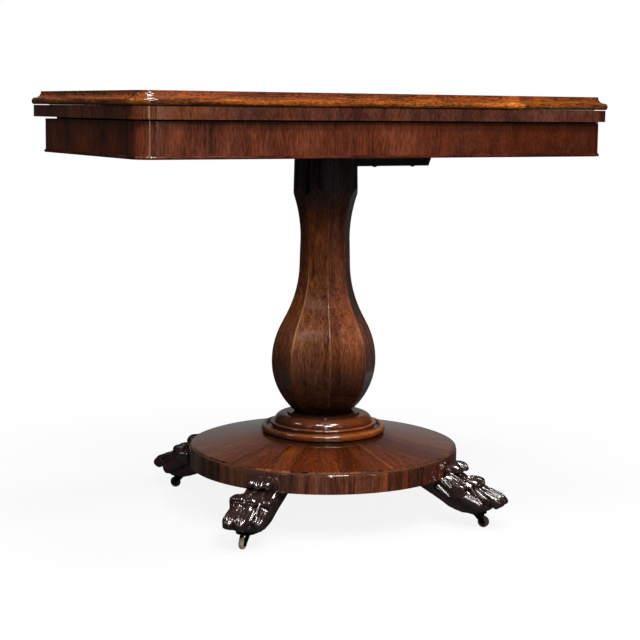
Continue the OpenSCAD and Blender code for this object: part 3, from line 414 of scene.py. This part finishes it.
def plain_wood(name, run, dark, light, seed=0.0, rough=0.6):
    """Unpolished secondary timber, with its growth lines."""
    g = Graph(name)
    grain, _ = along_grain(g, run)
    rings = g.noise(g.scaled(grain, (1.6, 38.0, 38.0), (seed, seed, 0)), 1.0, 3.0, 0.6, 0.5)
    lines = g.noise(g.scaled(grain, (6.0, 420.0, 420.0)), 1.0, 2.0, 0.5)
    colour = g.ramp(g.add(g.times(rings, 0.65), g.times(lines, 0.35)), (0.34, dark), (0.64, light))
    dirt_and_painted_shade = g.ramp(g.noise(g.place(), 9.0, 4.0, 0.6), (0.35, 0.72), (0.7, 1.0))
    return g.finish(Base_Color=g.tint(colour, dirt_and_painted_shade), Roughness=rough, Normal=g.bump(lines, 0.2, 0.0008))

# ---------------------------------------------------------------- cloth and metal

def baize(name):
    """Green woollen cloth glued to the leaves, with a short worn nap."""
    g = Graph(name)
    place = g.place()
    nap = g.noise(place, 900.0, 3.0, 0.7)
    cloud = g.noise(place, 7.0, 4.0, 0.6, 0.4)
    colour = g.ramp(g.add(g.times(nap, 0.45), g.times(cloud, 0.55)), (0.32, (0.014, 0.042, 0.016)),
                    (0.55, (0.024, 0.070, 0.026)), (0.75, (0.042, 0.098, 0.040)))
    return g.finish(Base_Color=colour, Roughness=0.95, Specular_IOR_Level=0.2, Sheen_Weight=0.12,
                    Sheen_Roughness=0.5, Normal=g.bump(nap, 0.5, 0.0006))


def metal(name, dark, light, rough=0.25, seed=0.0, metallic=1.0):
    """Old brass or steel, brighter where it is rubbed and dull where it isn't."""
    g = Graph(name)
    place = g.place()
    cloud = g.noise(g.scaled(place, (1, 1, 1), (seed, 0, 0)), 95.0, 4.0, 0.65, 0.3)
    speck = g.noise(place, 640.0, 2.0, 0.5)
    tone = g.add(g.times(cloud, 0.75), g.times(speck, 0.25))
    colour = g.ramp(tone, (0.36, dark), (0.62, light))
    gloss = g.add(rough, g.times(g.less(0.6, tone), 0.5))
    return g.finish(Base_Color=colour, Metallic=metallic, Roughness=gloss, Normal=g.bump(speck, 0.15, 0.0003))

# ---------------------------------------------------------------- each piece's material

# The radiating sheets of the platform, the turned rings of the collar and the moulding's lengths
SHEETS = dict(figure=(26.0, 4.0, 0.40), streak=(110.0, 14.0, 0.34), grain=(420.0, 100.0, 0.54), veins=0.06,
              pores=0.14, cells=16, offset=0.5, cell_tone=0.2, coat_ior=1.8, shade=platform_shade)
TURNED = dict(figure=(20.0, 6.0, 0.45), streak=(90.0, 20.0, 0.30), grain=(420.0, 60.0, 0.35), veins=0.06,
              pores=0.12, polish=0.13, ripple=0.002, coat_ior=1.8, shade=turned_shade)
LENGTHS = dict(figure=(60.0, 6.0, 0.7), streak=(200.0, 26.0, 0.55), grain=(500.0, 160.0, 0.90), polish=0.04)

MATERIALS = {
    "carcass": plain_wood("carcass", "x", (0.060, 0.024, 0.012), (0.16, 0.070, 0.034)),
    "inner": plain_wood("inner", "y", (0.12, 0.055, 0.026), (0.26, 0.14, 0.070), 2.0),
    "wedge": plain_wood("wedge", "z", (0.05, 0.02, 0.01), (0.12, 0.05, 0.03), 3.0),
    "bearer": plain_wood("bearer", "x", (0.012, 0.008, 0.007), (0.032, 0.020, 0.017), 4.0, 0.4),
    # the pads' felt is near-black, as painted shade in the gap under the leaf
    "felt": plain_wood("felt", "x", (0.008, 0.007, 0.006), (0.020, 0.016, 0.012), 6.0, 0.95),
    "veneer_light": rosewood("veneer_light", "radial", (0.175, 0.038, 0.0095), seed=1.0, **SHEETS),
    "veneer_dark": rosewood("veneer_dark", "radial", (0.152, 0.032, 0.0082), seed=2.0, **SHEETS),
    "crossband": rosewood("crossband", "radial", (0.140, 0.038, 0.014), cells=46, cell_tone=1.3, seed=3.0,
                          coat_ior=2.2, polish=0.04, ripple=0.03),
    "rim": rosewood("rim", "round", (0.080, 0.024, 0.0125), (26.0, 5.0, 0.7), (130.0, 12.0, 0.60),
                    (420.0, 60.0, 0.65), pores=0.15, seed=4.0, coat_ior=1.7, polish=0.05, ripple=0.04,
                    extra=rim_sheets, shade=rim_shade),
    # the collar ring is painted over twice as light as the boss: painted light where the lamps fall on the
    # ring
    "boss": rosewood("boss", "x", (0.135, 0.030, 0.010), seed=5.0, **TURNED),
    "collar": rosewood("collar", "x", (0.300, 0.078, 0.022), seed=6.0, **TURNED),
    "column": rosewood("column", "z", (0.184, 0.058, 0.0235), (16.0, 2.5, 0.55), (95.0, 7.0, 0.50),
                       (420.0, 60.0, 0.90), veins=0.10, pores=0.10, seed=7.0, wave=0.08, polish=0.14,
                       blush=0.8, shade=column_shade),
    # the block is near-black, partly painted shade under the frame
    "block": rosewood("block", "z", (0.028, 0.022, 0.018), (16.0, 2.5, 0.65), (95.0, 4.0, 0.50),
                      (420.0, 26.0, 0.55), seed=7.0, coat=0.12, polish=0.3),
    "frieze": rosewood("frieze", "z", (0.112, 0.0275, 0.0120), (18.0, 8.0, 0.62), (90.0, 6.0, 0.26),
                       (420.0, 60.0, 0.72), veins=0.10, pores=0.14, seed=8.0, extra=frieze_mottle,
                       shade=frieze_shade),
    "bead": rosewood("bead", "x", (0.115, 0.030, 0.014), seed=9.0, shade=frieze_shade),
    "leaf": rosewood("leaf", "z", (0.092, 0.0270, 0.0155), (18.0, 9.0, 0.50), (90.0, 20.0, 0.30),
                     (420.0, 120.0, 0.66), veins=0.10, pores=0.14, seed=10.0, shade=leaf_shade),
    "top": rosewood("top", "x", (0.200, 0.056, 0.019), (20.0, 2.0, 0.55), (90.0, 5.0, 0.30),
                    (420.0, 40.0, 0.40), veins=0.14, pores=0.16, seed=11.0),
    "moulding": rosewood("moulding", "x", (0.170, 0.040, 0.0075), seed=12.0, shade=moulding_shade, **LENGTHS),
    "moulding_side": rosewood("moulding_side", "y", (0.170, 0.040, 0.0075), seed=13.0, shade=painted_roll_light_and_shade,
                              **LENGTHS),
    "paw": rosewood("paw", "x", (0.032, 0.0110, 0.0082), (30.0, 15.0, 0.4), (200.0, 60.0, 0.3), veins=0.05,
                    pores=0.1, seed=14.0, coat_ior=2.2, polish=0.20, ripple=0.02, light=(1.3, 1.0, 1.0)),
    "baize": baize("baize"),
    "brass": metal("brass", (0.16, 0.085, 0.030), (0.62, 0.40, 0.17)),
    "castor": metal("castor", (0.012, 0.009, 0.007), (0.060, 0.040, 0.024), 0.35, 4.0),
    "wheel": metal("wheel", (0.42, 0.32, 0.20), (0.86, 0.74, 0.54), 0.52, 7.0, 0.35),
    "wheel_dull": metal("wheel_dull", (0.05, 0.035, 0.022), (0.26, 0.19, 0.12), 0.5, 7.0, 0.5),
    "steel": metal("steel", (0.03, 0.026, 0.022), (0.16, 0.14, 0.12), 0.45, 2.0),
}

FINISH = {
    "platform_core": "carcass", "platform_veneer_light": "veneer_light",
    "platform_veneer_dark": "veneer_dark", "platform_border": "crossband", "platform_rim": "rim",
    "collar_ring": "collar", "collar_boss": "boss",
    "column": "column", "column_wedge": "wedge", "bearer": "bearer", "stand_screws": "steel",
    "base_board": "carcass", "frieze_front": "carcass", "frieze_back": "frieze", "frieze_left": "carcass",
    "frieze_right": "carcass", "corner_blocks": "frieze", "frieze_veneer": "frieze", "bead_moulding": "bead",
    "well_partition": "inner", "well_floor": "inner", "well_lining": "baize", "pivot_board": "inner",
    "slide_pads": "felt", "lower_leaf": "leaf", "lower_baize": "baize", "pivot_plate": "steel",
    "pivot_bolt": "steel", "pivot_nut": "steel", "plate_screws": "steel", "stop_peg": "wedge",
    "hinges_lower": "brass", "hinge_pins": "brass", "hinge_screws_lower": "brass", "upper_leaf": "top",
    "moulding_front": "moulding", "moulding_left": "moulding_side", "moulding_right": "moulding_side",
    "upper_baize": "baize", "hinges_upper": "brass", "hinge_screws_upper": "brass", "castor_screws": "brass",
}
for number in "1234":
    FINISH["paw_" + number] = "paw"
    FINISH["castor_plate_" + number] = "castor"
    FINISH["castor_fork_" + number] = "castor"
    FINISH["castor_wheel_" + number] = "wheel" if number == "3" else "wheel_dull"
for name, finish in FINISH.items():
    NODES[name].material_slots[0].material = MATERIALS[finish]

# ---------------------------------------------------------------- carved forms, as distance fields

class Clay:
    """A distance field on a grid of points, in millimetres.

    Forms are melted on and cut away, and cast() makes the mesh.
    """

    def __init__(self, low, high, step):
        self.low, self.step = np.array(low, float), step
        axes = [np.arange(a, b + step, step) for a, b in zip(low, high)]
        self.x, self.y, self.z = np.meshgrid(*axes, indexing="ij")
        self.field = np.full(self.x.shape, 1e3)

    def room(self, low, high):
        """The part of the grid that a form between these corners can change."""
        first = np.maximum(np.floor((np.array(low) - self.low) / self.step).astype(int) - 4, 0)
        last = np.ceil((np.array(high) - self.low) / self.step).astype(int) + 5
        return tuple(slice(int(i), int(max(i, j))) for i, j in zip(first, last))

    def rod(self, a, b, ra, rb):
        """Distance to a rod from a to b whose radius changes from ra to rb."""
        a, b = np.array(a, float), np.array(b, float)
        wide = max(ra, rb)
        part = self.room(np.minimum(a, b) - wide, np.maximum(a, b) + wide)
        d = b - a
        px, py, pz = self.x[part] - a[0], self.y[part] - a[1], self.z[part] - a[2]
        t = np.clip((px * d[0] + py * d[1] + pz * d[2]) / max(d @ d, 1e-9), 0, 1)
        gap = np.sqrt((px - t * d[0]) ** 2 + (py - t * d[1]) ** 2 + (pz - t * d[2]) ** 2)
        return part, gap - (ra + (rb - ra) * t)

    def egg(self, centre, radii, tilt=0.0, power=2.0):
        """Distance to an egg, turned by tilt degrees in the x-z plane; a higher power makes it squarer."""
        wide = max(radii)
        part = self.room(np.array(centre) - wide, np.array(centre) + wide)
        px, py, pz = self.x[part] - centre[0], self.y[part] - centre[1], self.z[part] - centre[2]
        c, s = math.cos(math.radians(tilt)), math.sin(math.radians(tilt))
        px, pz = c * px + s * pz, -s * px + c * pz
        k = np.abs(px / radii[0]) ** power + np.abs(py / radii[1]) ** power + np.abs(pz / radii[2]) ** power
        return part, (k ** (1 / power) - 1.0) * min(radii)

    def plate(self, outline, half, round_off):
        """Distance to an outline in the x-z plane, as wide as half(x, z) on each side."""
        points = np.array(outline, float)
        gap = np.full(self.x[:, 0, :].shape, 1e9)
        px, pz = self.x[:, 0, :], self.z[:, 0, :]
        sign = np.ones(gap.shape)
        for (ax, az), (bx, bz) in zip(points, np.roll(points, -1, 0)):
            ex, ez = bx - ax, bz - az
            t = np.clip(((px - ax) * ex + (pz - az) * ez) / (ex * ex + ez * ez), 0, 1)
            gap = np.minimum(gap, np.hypot(px - ax - t * ex, pz - az - t * ez))
            crosses = ((az > pz) != (bz > pz)) & (px < ex * (pz - az) / (ez if ez else 1e-9) + ax)
            sign = np.where(crosses, -sign, sign)
        flat = (gap * sign)[:, None, :] + round_off
        side = np.abs(self.y) - half + round_off
        outside = np.sqrt(np.maximum(flat, 0) ** 2 + np.maximum(side, 0) ** 2)
        return np.s_[:, :, :], outside + np.minimum(np.maximum(flat, side), 0) - round_off

    def melt(self, form, soft=3.0):
        """Adds a form, with a fillet about as wide as soft where it meets the rest."""
        part, form = form
        field = self.field[part]
        h = np.clip(0.5 + 0.5 * (form - field) / soft, 0, 1)
        self.field[part] = form * (1 - h) + field * h - soft * h * (1 - h)

    def carve(self, form, soft=2.0):
        """Takes a form away, with the cut's edges rounded as softly."""
        part, form = form
        field = self.field[part]
        h = np.clip(0.5 - 0.5 * (field + form) / soft, 0, 1)
        self.field[part] = field * (1 - h) - form * h + soft * h * (1 - h)

    def cast(self, name):
        """A closed mesh of quads where the field is zero: one point in each crossed cell."""
        field, inside = self.field, self.field < 0
        n = np.array(field.shape) - 1
        hits, place = np.zeros(n), np.zeros((*n, 3))
        for corner in ((i, j, k) for i in (0, 1) for j in (0, 1) for k in (0, 1)):
            for axis in range(3):
                if corner[axis]:
                    continue
                other = list(corner)
                other[axis] = 1
                fa = field[tuple(slice(c, c + m) for c, m in zip(corner, n))]
                fb = field[tuple(slice(c, c + m) for c, m in zip(other, n))]
                crossed = (fa < 0) != (fb < 0)
                t = np.where(crossed, fa / np.where(crossed, fa - fb, 1.0), 0.0)
                for c in range(3):
                    place[..., c] += crossed * (corner[c] + (t if c == axis else 0.0))
                hits += crossed
        active = hits > 0
        index = np.full(n, -1)
        index[active] = np.arange(active.sum())
        points = self.low + self.step * (np.argwhere(active) + place[active] / hits[active][:, None])
        quads = []
        for axis in range(3):
            u, v = (axis + 1) % 3, (axis + 2) % 3
            a = np.take(inside, range(0, n[axis]), axis)
            b = np.take(inside, range(1, n[axis] + 1), axis)
            at = np.argwhere(a != b)
            keep = (at[:, u] > 0) & (at[:, v] > 0) & (at[:, u] < n[u]) & (at[:, v] < n[v])
            at = at[keep]
            du, dv = np.eye(3, dtype=int)[u], np.eye(3, dtype=int)[v]
            ring = [at, at - du, at - du - dv, at - dv]
            quad = np.stack([index[tuple(r.T)] for r in ring], 1)
            outward = a[tuple(at.T)]
            quads.append(np.where(outward[:, None], quad, quad[:, ::-1]))
        quads = np.concatenate(quads)
        quads = quads[(quads >= 0).all(1)]
        mesh = bpy.data.meshes.new(name)
        mesh.from_pydata((points * 0.001).tolist(), [], quads.tolist())
        mesh.polygons.foreach_set("use_smooth", [True] * len(mesh.polygons))
        mesh.update()
        return mesh


# Ridges of hair down the toes. Each cut has its two ends, as x, y, the room beside it for two more, and z,
# and its radius at each end.
HAIR = (((280, 10, 5.4, 86.4), (305, 10, 5.2, 77.0), 0.9, 1.7),
        ((316, 10.8, 4.8, 67.6), (344, 10.8, 5.4, 55.5), 0.8, 1.6),
        ((264, 26, 5.4, 76.6), (284, 26.5, 5.2, 67.5), 0.9, 1.7),
        ((292, 27.5, 4.6, 60.2), (313, 27.5, 5.0, 50.5), 0.8, 1.6))
# Locks of hair, combed down and outwards from the leg: two ends, and the radius at each
LOCKS = (((238, 24, 80), (264, 27.5, 60), 6.0, 2.6), ((252, 15.0, 88), (276, 16.5, 78), 5.0, 2.4),
         ((230, 25, 68), (256, 27.5, 50), 5.2, 2.0))


def carved_paw():
    """A lion's paw on a raking leg, with a rolled leaf above it. x runs outwards from the table's axis."""
    clay = Clay((166, -46, 20), (362, 46, 120), 1.0)
    x, y, z = clay.x, clay.y, clay.z
    sole, rim_slack = 26.9, 0.2
    leg = [(170, RIM_FOOT), (242, RIM_FOOT), (243, 88), (262, 88), (274, 82), (292, 76), (304, 62),
           (312, 44), (308, 30), (300, sole), (276, sole), (264, 30.0), (250, 35.0), (240, 41.5),
           (222, 51.5), (206, 59.5), (186, 70), (172, 78)]
    waist = 26.5 - 8.5 * np.exp(-((x - 262) / 12) ** 2 - ((z - 90) / 15) ** 2)
    clay.melt(clay.plate(leg, waist, 6.0), 0.1)
    for side in (-1, 1):
        # knuckle, middle joint and wedge-shaped end of each toe
        clay.melt(clay.egg((288, 10 * side, 71.5), (15.5, 11.5, 13.6), -6, 3.6), 1.6)
        clay.melt(clay.rod((303, 10.2 * side, 60), (331, 10.8 * side, 50.5), 11.5, 11.0), 1.6)
        clay.melt(clay.egg((333, 10.8 * side, 48.5), (14.0, 9.5, 10.0), -34, 2.6), 1.6)
        clay.melt(clay.egg((271.5, 27.0 * side, 65.0), (13.5, 12.6, 13.5), -4, 4.4), 1.4)
        clay.melt(clay.rod((282, 27 * side, 53), (301, 27.5 * side, 45.5), 11.2, 10.4), 1.6)
        clay.melt(clay.egg((304, 27.5 * side, 43.5), (12.5, 9.2, 10.5), -30, 2.6), 1.6)
        # clefts: across behind each end, and between the toes
        clay.carve(clay.rod((312, 22 * side, 68.5), (312, 0, 72), 2.6, 2.6), 3.0)
        clay.carve(clay.rod((288, 40 * side, 64.5), (289, 18 * side, 69), 2.6, 2.6), 3.0)
        clay.carve(clay.rod((260, 17.2 * side, 86), (294, 17.8 * side, 73), 2.4, 2.8), 2.0)
        clay.carve(clay.rod((294, 17.8 * side, 73), (322, 20.0 * side, 54), 2.8, 3.4), 2.0)
        clay.carve(clay.rod((322, 20.0 * side, 54), (322, 20.0 * side, 26), 3.4, 3.8), 3.0)
        for k in (-1.0, 0.0, 1.0):
            # the cuts on either side of a toe lie a little lower
            lean = 1.3 * k * k
            for start, stop, ra, rb in HAIR:
                ends = [(px, (py + room * k) * side, pz - lean) for px, py, room, pz in (start, stop)]
                clay.carve(clay.rod(*ends, ra, rb), 1.0)
    clay.carve(clay.rod((266, 0, 90), (300, 0, 80), 2.0, 2.8), 2.0)
    clay.carve(clay.rod((300, 0, 80), (350, 0, 56), 2.8, 3.2), 2.0)
    clay.carve(clay.rod((352, 0, 54), (336, 0, 26), 3.8, 3.2), 3.0)
    clay.melt(clay.egg((290, 0, 38), (34, 25, 12)), 4.0)
    # the front of the toes is undercut
    clay.field = np.maximum(clay.field, np.where(x > 318, (x - 327) * 0.50 - (z - 33.0) * 0.86, -1e3))
    for side in (-1, 1):
        for a, b, ra, rb in LOCKS:
            clay.melt(clay.rod((a[0], a[1] * side, a[2]), (b[0], b[1] * side, b[2]), ra, rb), 1.6)
            clay.carve(clay.rod((a[0] + 2, (a[1] + ra - 0.3) * side, a[2] + 0.8),
                                (b[0] - 2, (b[1] + rb) * side, b[2] + 0.8), 1.2, 1.0), 1.2)
    clay.melt(clay.rod((258, 0, 90), (280, 0, 83.5), 5.0, 3.0), 1.6)
    # rolled leaf: three lobes lying across the foot, with a hollow under it
    clay.melt(clay.egg((257, 6, 99.0), (19, 10.5, 8.8), -5, 2.2), 1.6)
    clay.melt(clay.egg((254, 21, 98.2), (15, 9.0, 8.2), -4, 2.2), 1.0)
    clay.melt(clay.egg((254, -8.5, 98.2), (15.5, 8.5, 8.2), -4, 2.2), 1.0)
    clay.melt(clay.rod((246, -12, 94), (246, 25, 94), 8.0, 8.0), 2.0)
    for middle in (-8.5, 6, 21):
        clay.carve(clay.rod((252, middle - 2.6, 109.0), (276, middle - 1.8, 101.5), 1.0, 1.6), 1.2)
        clay.carve(clay.rod((252, middle + 3.2, 109.0), (276, middle + 2.4, 101.5), 1.0, 1.6), 1.2)
        clay.carve(clay.rod((274, middle, 96.5), (268, middle, 90.0), 1.2, 1.6), 1.2)
    clay.carve(clay.rod((258, 13.6, 109), (276, 13.2, 96), 1.8, 1.6), 1.6)
    clay.carve(clay.rod((258, -1.6, 109), (276, -1.2, 96), 1.8, 1.6), 1.6)
    clay.carve(clay.rod((271, -32, 89.0), (271, 38, 89.0), 4.6, 4.6), 2.0)
    # shallow tool marks all over the hair
    marks = np.sin(2 * np.pi * (y + 0.22 * (z - 60) * np.sign(y)) / 5.0) * 0.12
    clay.field += marks * np.clip((x - 250) / 12, 0, 1) * np.clip((z - 44) / 8, 0, 1) * (z < 92)
    # the sole, and room for the platform
    clay.field = np.maximum(clay.field, sole - z)
    beyond_rim = np.hypot(x, y) - (RIM_RADIUS + rim_slack)
    clay.field = np.maximum(clay.field, -np.maximum(beyond_rim, RIM_FOOT - z))
    return clay.cast("carved_paw")


def add_object(name, mesh, *finishes):
    """An object in the scene, with materials added to its mesh."""
    for finish in finishes:
        mesh.materials.append(MATERIALS[finish])
    made = bpy.data.objects.new(name, mesh)
    scene.collection.objects.link(made)
    return made


FIRST_PAW = 35.5                    # degrees from +X
paw_mesh = carved_paw()
paw_mesh.materials.append(MATERIALS["paw"])
for number in range(4):
    paw = add_object("carved_paw_%d" % (number + 1), paw_mesh)
    paw.rotation_euler = (0.0, 0.0, math.radians(FIRST_PAW + 90 * number))
    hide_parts("paw_%d" % (number + 1))
    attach(paw, "stand")

# ---------------------------------------------------------------- column with eased arrises

def flat_distance(z):
    """Half the distance across the flats of the column at a height, in millimetres."""
    belly, belly_z, low_curve, high_curve, slope = 86.7, 267.7, 126.8, 151.3, math.radians(25.7)
    neck, neck_slope, neck_length, hollow, flare = 40.9, math.radians(1.42), 49.0, 214.8, 257.6
    z1, x1 = belly_z + high_curve * math.sin(slope), belly - high_curve * (1 - math.cos(slope))
    x3 = neck + neck_length * math.sin(neck_slope)
    x2 = x3 + hollow * (math.cos(neck_slope) - math.cos(slope))
    z2 = z1 + (x1 - x2) / math.tan(slope)
    z3 = z2 + hollow * (math.sin(slope) - math.sin(neck_slope))
    z4 = z3 + neck_length * math.cos(neck_slope)
    if z < belly_z:
        return belly - low_curve + math.sqrt(low_curve ** 2 - (z - belly_z) ** 2)
    if z < z1:
        return belly - high_curve + math.sqrt(high_curve ** 2 - (z - belly_z) ** 2)
    if z < z2:
        return x1 - (z - z1) * math.tan(slope)
    if z < z3:
        up = z - z2 - hollow * math.sin(slope)
        return x2 + hollow * math.cos(slope) - math.sqrt(hollow ** 2 - up ** 2)
    if z < z4:
        return x3 - (z - z3) * math.tan(neck_slope)
    return neck + flare - math.sqrt(flare ** 2 - (z - z4) ** 2)


def column_mesh():
    """The octagonal baluster: the flats meet in eased arrises and run out in arches below the round block."""
    tenon, tenon_foot, foot, neck_top, frame_base = 22.0, 82.8, 176.5, 500.0, 635.3
    block, block_foot, block_height, block_taper, block_edge = 57.0, 567.0, 68.0, 1.4, 56.6
    # angles from an arris to the middle of a facet, closer together near the arris
    eased = [0, 0.25, 0.55, 0.95, 1.5, 2.3, 3.6, 6.0, 9.5, 14.0, 18.5, 22.5]
    turns = [22.5 + 45 * k + a * s for k in range(8) for s in (-1, 1)
             for a in (eased[-2:0:-1] if s < 0 else eased)]
    angles = np.radians(np.array(turns))
    # closer together where the flats run out into the block
    heights = np.concatenate([np.arange(foot, 545, 2.0), np.arange(545, 592, 1.0),
                              np.arange(592, frame_base, 4.0), [frame_base]])
    rings = [np.full(len(angles), tenon), np.full(len(angles), tenon)]
    levels = [tenon_foot, foot]
    for z in heights:
        flat = flat_distance(z)
        sharp = 3.4 * flat
        power = sum(np.maximum(np.cos(angles - math.radians(45 * k)), 0) ** sharp for k in range(8))
        if z > neck_top:
            round_block = block - block_taper * max(z - block_foot, 0) / block_height
            power = power + (flat / round_block) ** sharp
        rings.append(flat * power ** (-1 / sharp))
        levels.append(z)
    n = len(angles)
    points, faces, marks = [], [], []
    for z, ring in zip(levels, rings):
        points += [(r * math.cos(a) / 1000, r * math.sin(a) / 1000, z / 1000) for r, a in zip(ring, angles)]
    for i in range(len(levels) - 1):
        z = (levels[i] + levels[i + 1]) / 2
        for j in range(n):
            k = (j + 1) % n
            faces.append((i * n + j, i * n + k, (i + 1) * n + k, (i + 1) * n + j))
            # where the flats would lie outside the block, the face is the block's
            facing = max(math.cos(angles[j] - math.radians(45 * m)) for m in range(8))
            marks.append(int(z > neck_top and flat_distance(z) / facing > block_edge))
    faces += [tuple(range(n))[::-1], tuple(range((len(levels) - 1) * n, len(levels) * n))]
    marks += [0, 1]
    mesh = bpy.data.meshes.new("column_body")
    mesh.from_pydata(points, [], faces)
    mesh.polygons.foreach_set("use_smooth", [True] * (len(faces) - 2) + [False] * 2)
    mesh.polygons.foreach_set("material_index", marks)
    mesh.update()
    return mesh


column = add_object("column_body", column_mesh(), "column", "block")
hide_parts("column")
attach(column, "stand")

# ---------------------------------------------------------------- platform edge with an eased arris

def lathe(name, profile, material):
    """A ring turned from a closed outline of (radius, height) in millimetres."""
    segments, count = 240, len(profile)
    points = [(r * math.cos(a) / 1000, r * math.sin(a) / 1000, z / 1000)
              for a in np.arange(segments) * 2 * math.pi / segments for r, z in profile]
    faces = [(i * count + j, (i + 1) % segments * count + j, (i + 1) % segments * count + (j + 1) % count,
              i * count + (j + 1) % count) for i in range(segments) for j in range(count)]
    mesh = bpy.data.meshes.new(name)
    mesh.from_pydata(points, [], faces)
    mesh.polygons.foreach_set("use_smooth", [True] * len(faces))
    mesh.update()
    mesh.set_sharp_from_angle(angle=math.radians(40))
    ring = add_object(name, mesh, material)
    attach(ring, "stand")
    return ring


# The arris's radius, the slope of the platform's top above it, and the border's thickness
EASE, FALL, VENEER = 8.0, 0.181, 1.2
# The radii where the border and the rim end inside
BORDER_INSIDE, RIM_INSIDE = 232.0, 237.8
arc_centre = (RIM_RADIUS - EASE, RIM_TOP - EASE * 0.8774)
arc = [(arc_centre[0] + EASE * math.cos(math.radians(a)), arc_centre[1] + EASE * math.sin(math.radians(a)))
       for a in (79.8, 70, 60, 50, 40, 30, 20, 10, 0)]
# the border reaches halfway round the arc and the rim goes on from there
top, joint, side = arc[0], arc[4], arc[-1]
inner_top = top[1] + (top[0] - BORDER_INSIDE) * FALL
border_ring = lathe("border_ring", [(BORDER_INSIDE, inner_top - VENEER), (BORDER_INSIDE, inner_top),
                                    (BORDER_INSIDE + 0.4, inner_top - 0.4 * FALL),
                                    (top[0] - 0.4, top[1] + 0.4 * FALL), *arc[:5],
                                    (joint[0] - VENEER, joint[1] - VENEER)], "crossband")
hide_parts("platform_border")
rim_ring = lathe("rim_ring", [(RIM_INSIDE, joint[1] - VENEER), *arc[4:], (RIM_RADIUS, side[1] - 0.5),
                              (RIM_RADIUS, RIM_FOOT + 0.5), (RIM_RADIUS, RIM_FOOT),
                              (RIM_INSIDE, RIM_FOOT)], "rim")
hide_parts("platform_rim")

# ---------------------------------------------------------------- studio

def floor_material():
    """White paper to the camera, with the object's shadow on it. Other rays find it dim."""
    g = Graph("floor")
    ray = g.node("ShaderNodeLightPath").outputs
    x, y, _ = g.split(g.place())
    # far from the table the paper is plain white, so its edge can't be seen
    edge = g.spread(g.radius(x, y), 0.45, 1.05, 0.88, 1.0)
    # polish and metal mirror the paper where it is lit, away from the table
    shiny = g.add(ray["Is Glossy Ray"], ray["Is Transmission Ray"])
    mirrored = g.spread(g.add(g.times(x, AHEAD[0]), g.times(y, AHEAD[1])), 0.60, 1.08, 0.02, 0.20)
    seen = g.math("MINIMUM", g.add(ray["Is Camera Ray"], g.times(shiny, mirrored)), 1.0)
    bounce = g.less(0.16, g.times(shiny, 0.13))
    paper = g.node("ShaderNodeBsdfDiffuse", {"Color": (0.92, 0.92, 0.92, 1.0)})
    dim = g.node("ShaderNodeBsdfDiffuse", {"Color": g.join(bounce, bounce, bounce)})
    white = g.node("ShaderNodeEmission", {"Color": (1.0, 1.0, 1.0, 1.0), "Strength": 1.0})
    surface = g.blend(seen, dim, g.blend(edge, paper, white))
    g.node("ShaderNodeOutputMaterial", {"Surface": surface.outputs[0]})
    return g.material


floor_mesh = bpy.data.meshes.new("floor")
floor_form = bmesh.new()
bmesh.ops.create_circle(floor_form, cap_ends=True, segments=96, radius=1.1)
floor_form.to_mesh(floor_mesh)
floor_form.free()
floor_mesh.materials.append(floor_material())
floor = add_object("floor", floor_mesh)
floor.location = (0.0, 0.0, -0.0002)


def studio_world():
    """The white backdrop stands behind the table; the room in front of it is dim."""
    world = bpy.data.worlds.new("studio")
    g = Graph("sky", world)
    ray = g.node("ShaderNodeLightPath").outputs
    toward = g.node("ShaderNodeTexCoord").outputs["Generated"]

    def facing(direction):
        """How much a ray goes in a direction, up to 1."""
        dot = g.node("ShaderNodeVectorMath", {0: toward, 1: direction}, operation="DOT_PRODUCT")
        return dot.outputs["Value"]

    shiny = g.add(ray["Is Glossy Ray"], ray["Is Transmission Ray"])
    shiny = g.times(shiny, g.spread(facing((*AHEAD, 0.0)), 0.84, 0.98, 0.0, 0.20))
    share = g.math("MINIMUM", g.add(ray["Is Camera Ray"], shiny), 1.0)
    soft = g.spread(facing((-0.17, -0.93, 0.32)), -0.2, 1.0, 0.05, 0.40)
    fill = g.add(0.02, g.times(ray["Is Diffuse Ray"], soft))
    room = g.node("ShaderNodeBackground", {"Color": (0.98, 0.99, 1.0, 1.0), "Strength": fill})
    white = g.node("ShaderNodeBackground", {"Color": (1.0, 1.0, 1.0, 1.0), "Strength": 1.0})
    g.node("ShaderNodeOutputWorld", {"Surface": g.blend(share, room, white).outputs[0]})
    return world


scene.world = studio_world()

AIM = (0.0, 0.0, 0.45)              # every lamp points at the column's belly


def toward_sky(azimuth, elevation, distance=2.6):
    """A place at a direction and a distance from the aim."""
    a, e = math.radians(azimuth), math.radians(elevation)
    return (distance * math.cos(e) * math.cos(a), distance * math.cos(e) * math.sin(a),
            AIM[2] + distance * math.sin(e))


# Each lamp's name, place, width and height in metres, and watts
LAMPS = (("strip_left", (-1.10, -2.62, 1.15), (0.07, 1.5), 4.5),
         ("strip_right", (0.57, -2.52, 1.15), (0.012, 1.5), 0.7),
         ("key", (-0.52, -1.93, 1.95), (0.65, 0.45), 24.0),
         ("key_left", toward_sky(229, 50), (0.55, 0.40), 13.0),
         ("key_right", toward_sky(278, 55), (0.45, 0.45), 24.0),
         ("patch", toward_sky(206, 32), (0.08, 1.0), 0.6),
         ("ceiling", toward_sky(247, 84, 2.4), (0.60, 0.60), 26.0),
         ("band", toward_sky(240, 74), (0.52, 0.20), 60.0),
         ("edge_left", toward_sky(165, 38), (0.60, 0.35), 4.0))
for name, place, size, power in LAMPS:
    data = bpy.data.lights.new(name, "AREA")
    data.shape = "RECTANGLE"
    data.size, data.size_y = size
    data.energy = power
    lamp = bpy.data.objects.new(name, data)
    scene.collection.objects.link(lamp)
    lamp.location = place
    lamp.rotation_euler = (Vector(AIM) - Vector(place)).to_track_quat("-Z", "Y").to_euler()
    # the band is only there for the polish to mirror
    lamp.visible_diffuse = name != "band"
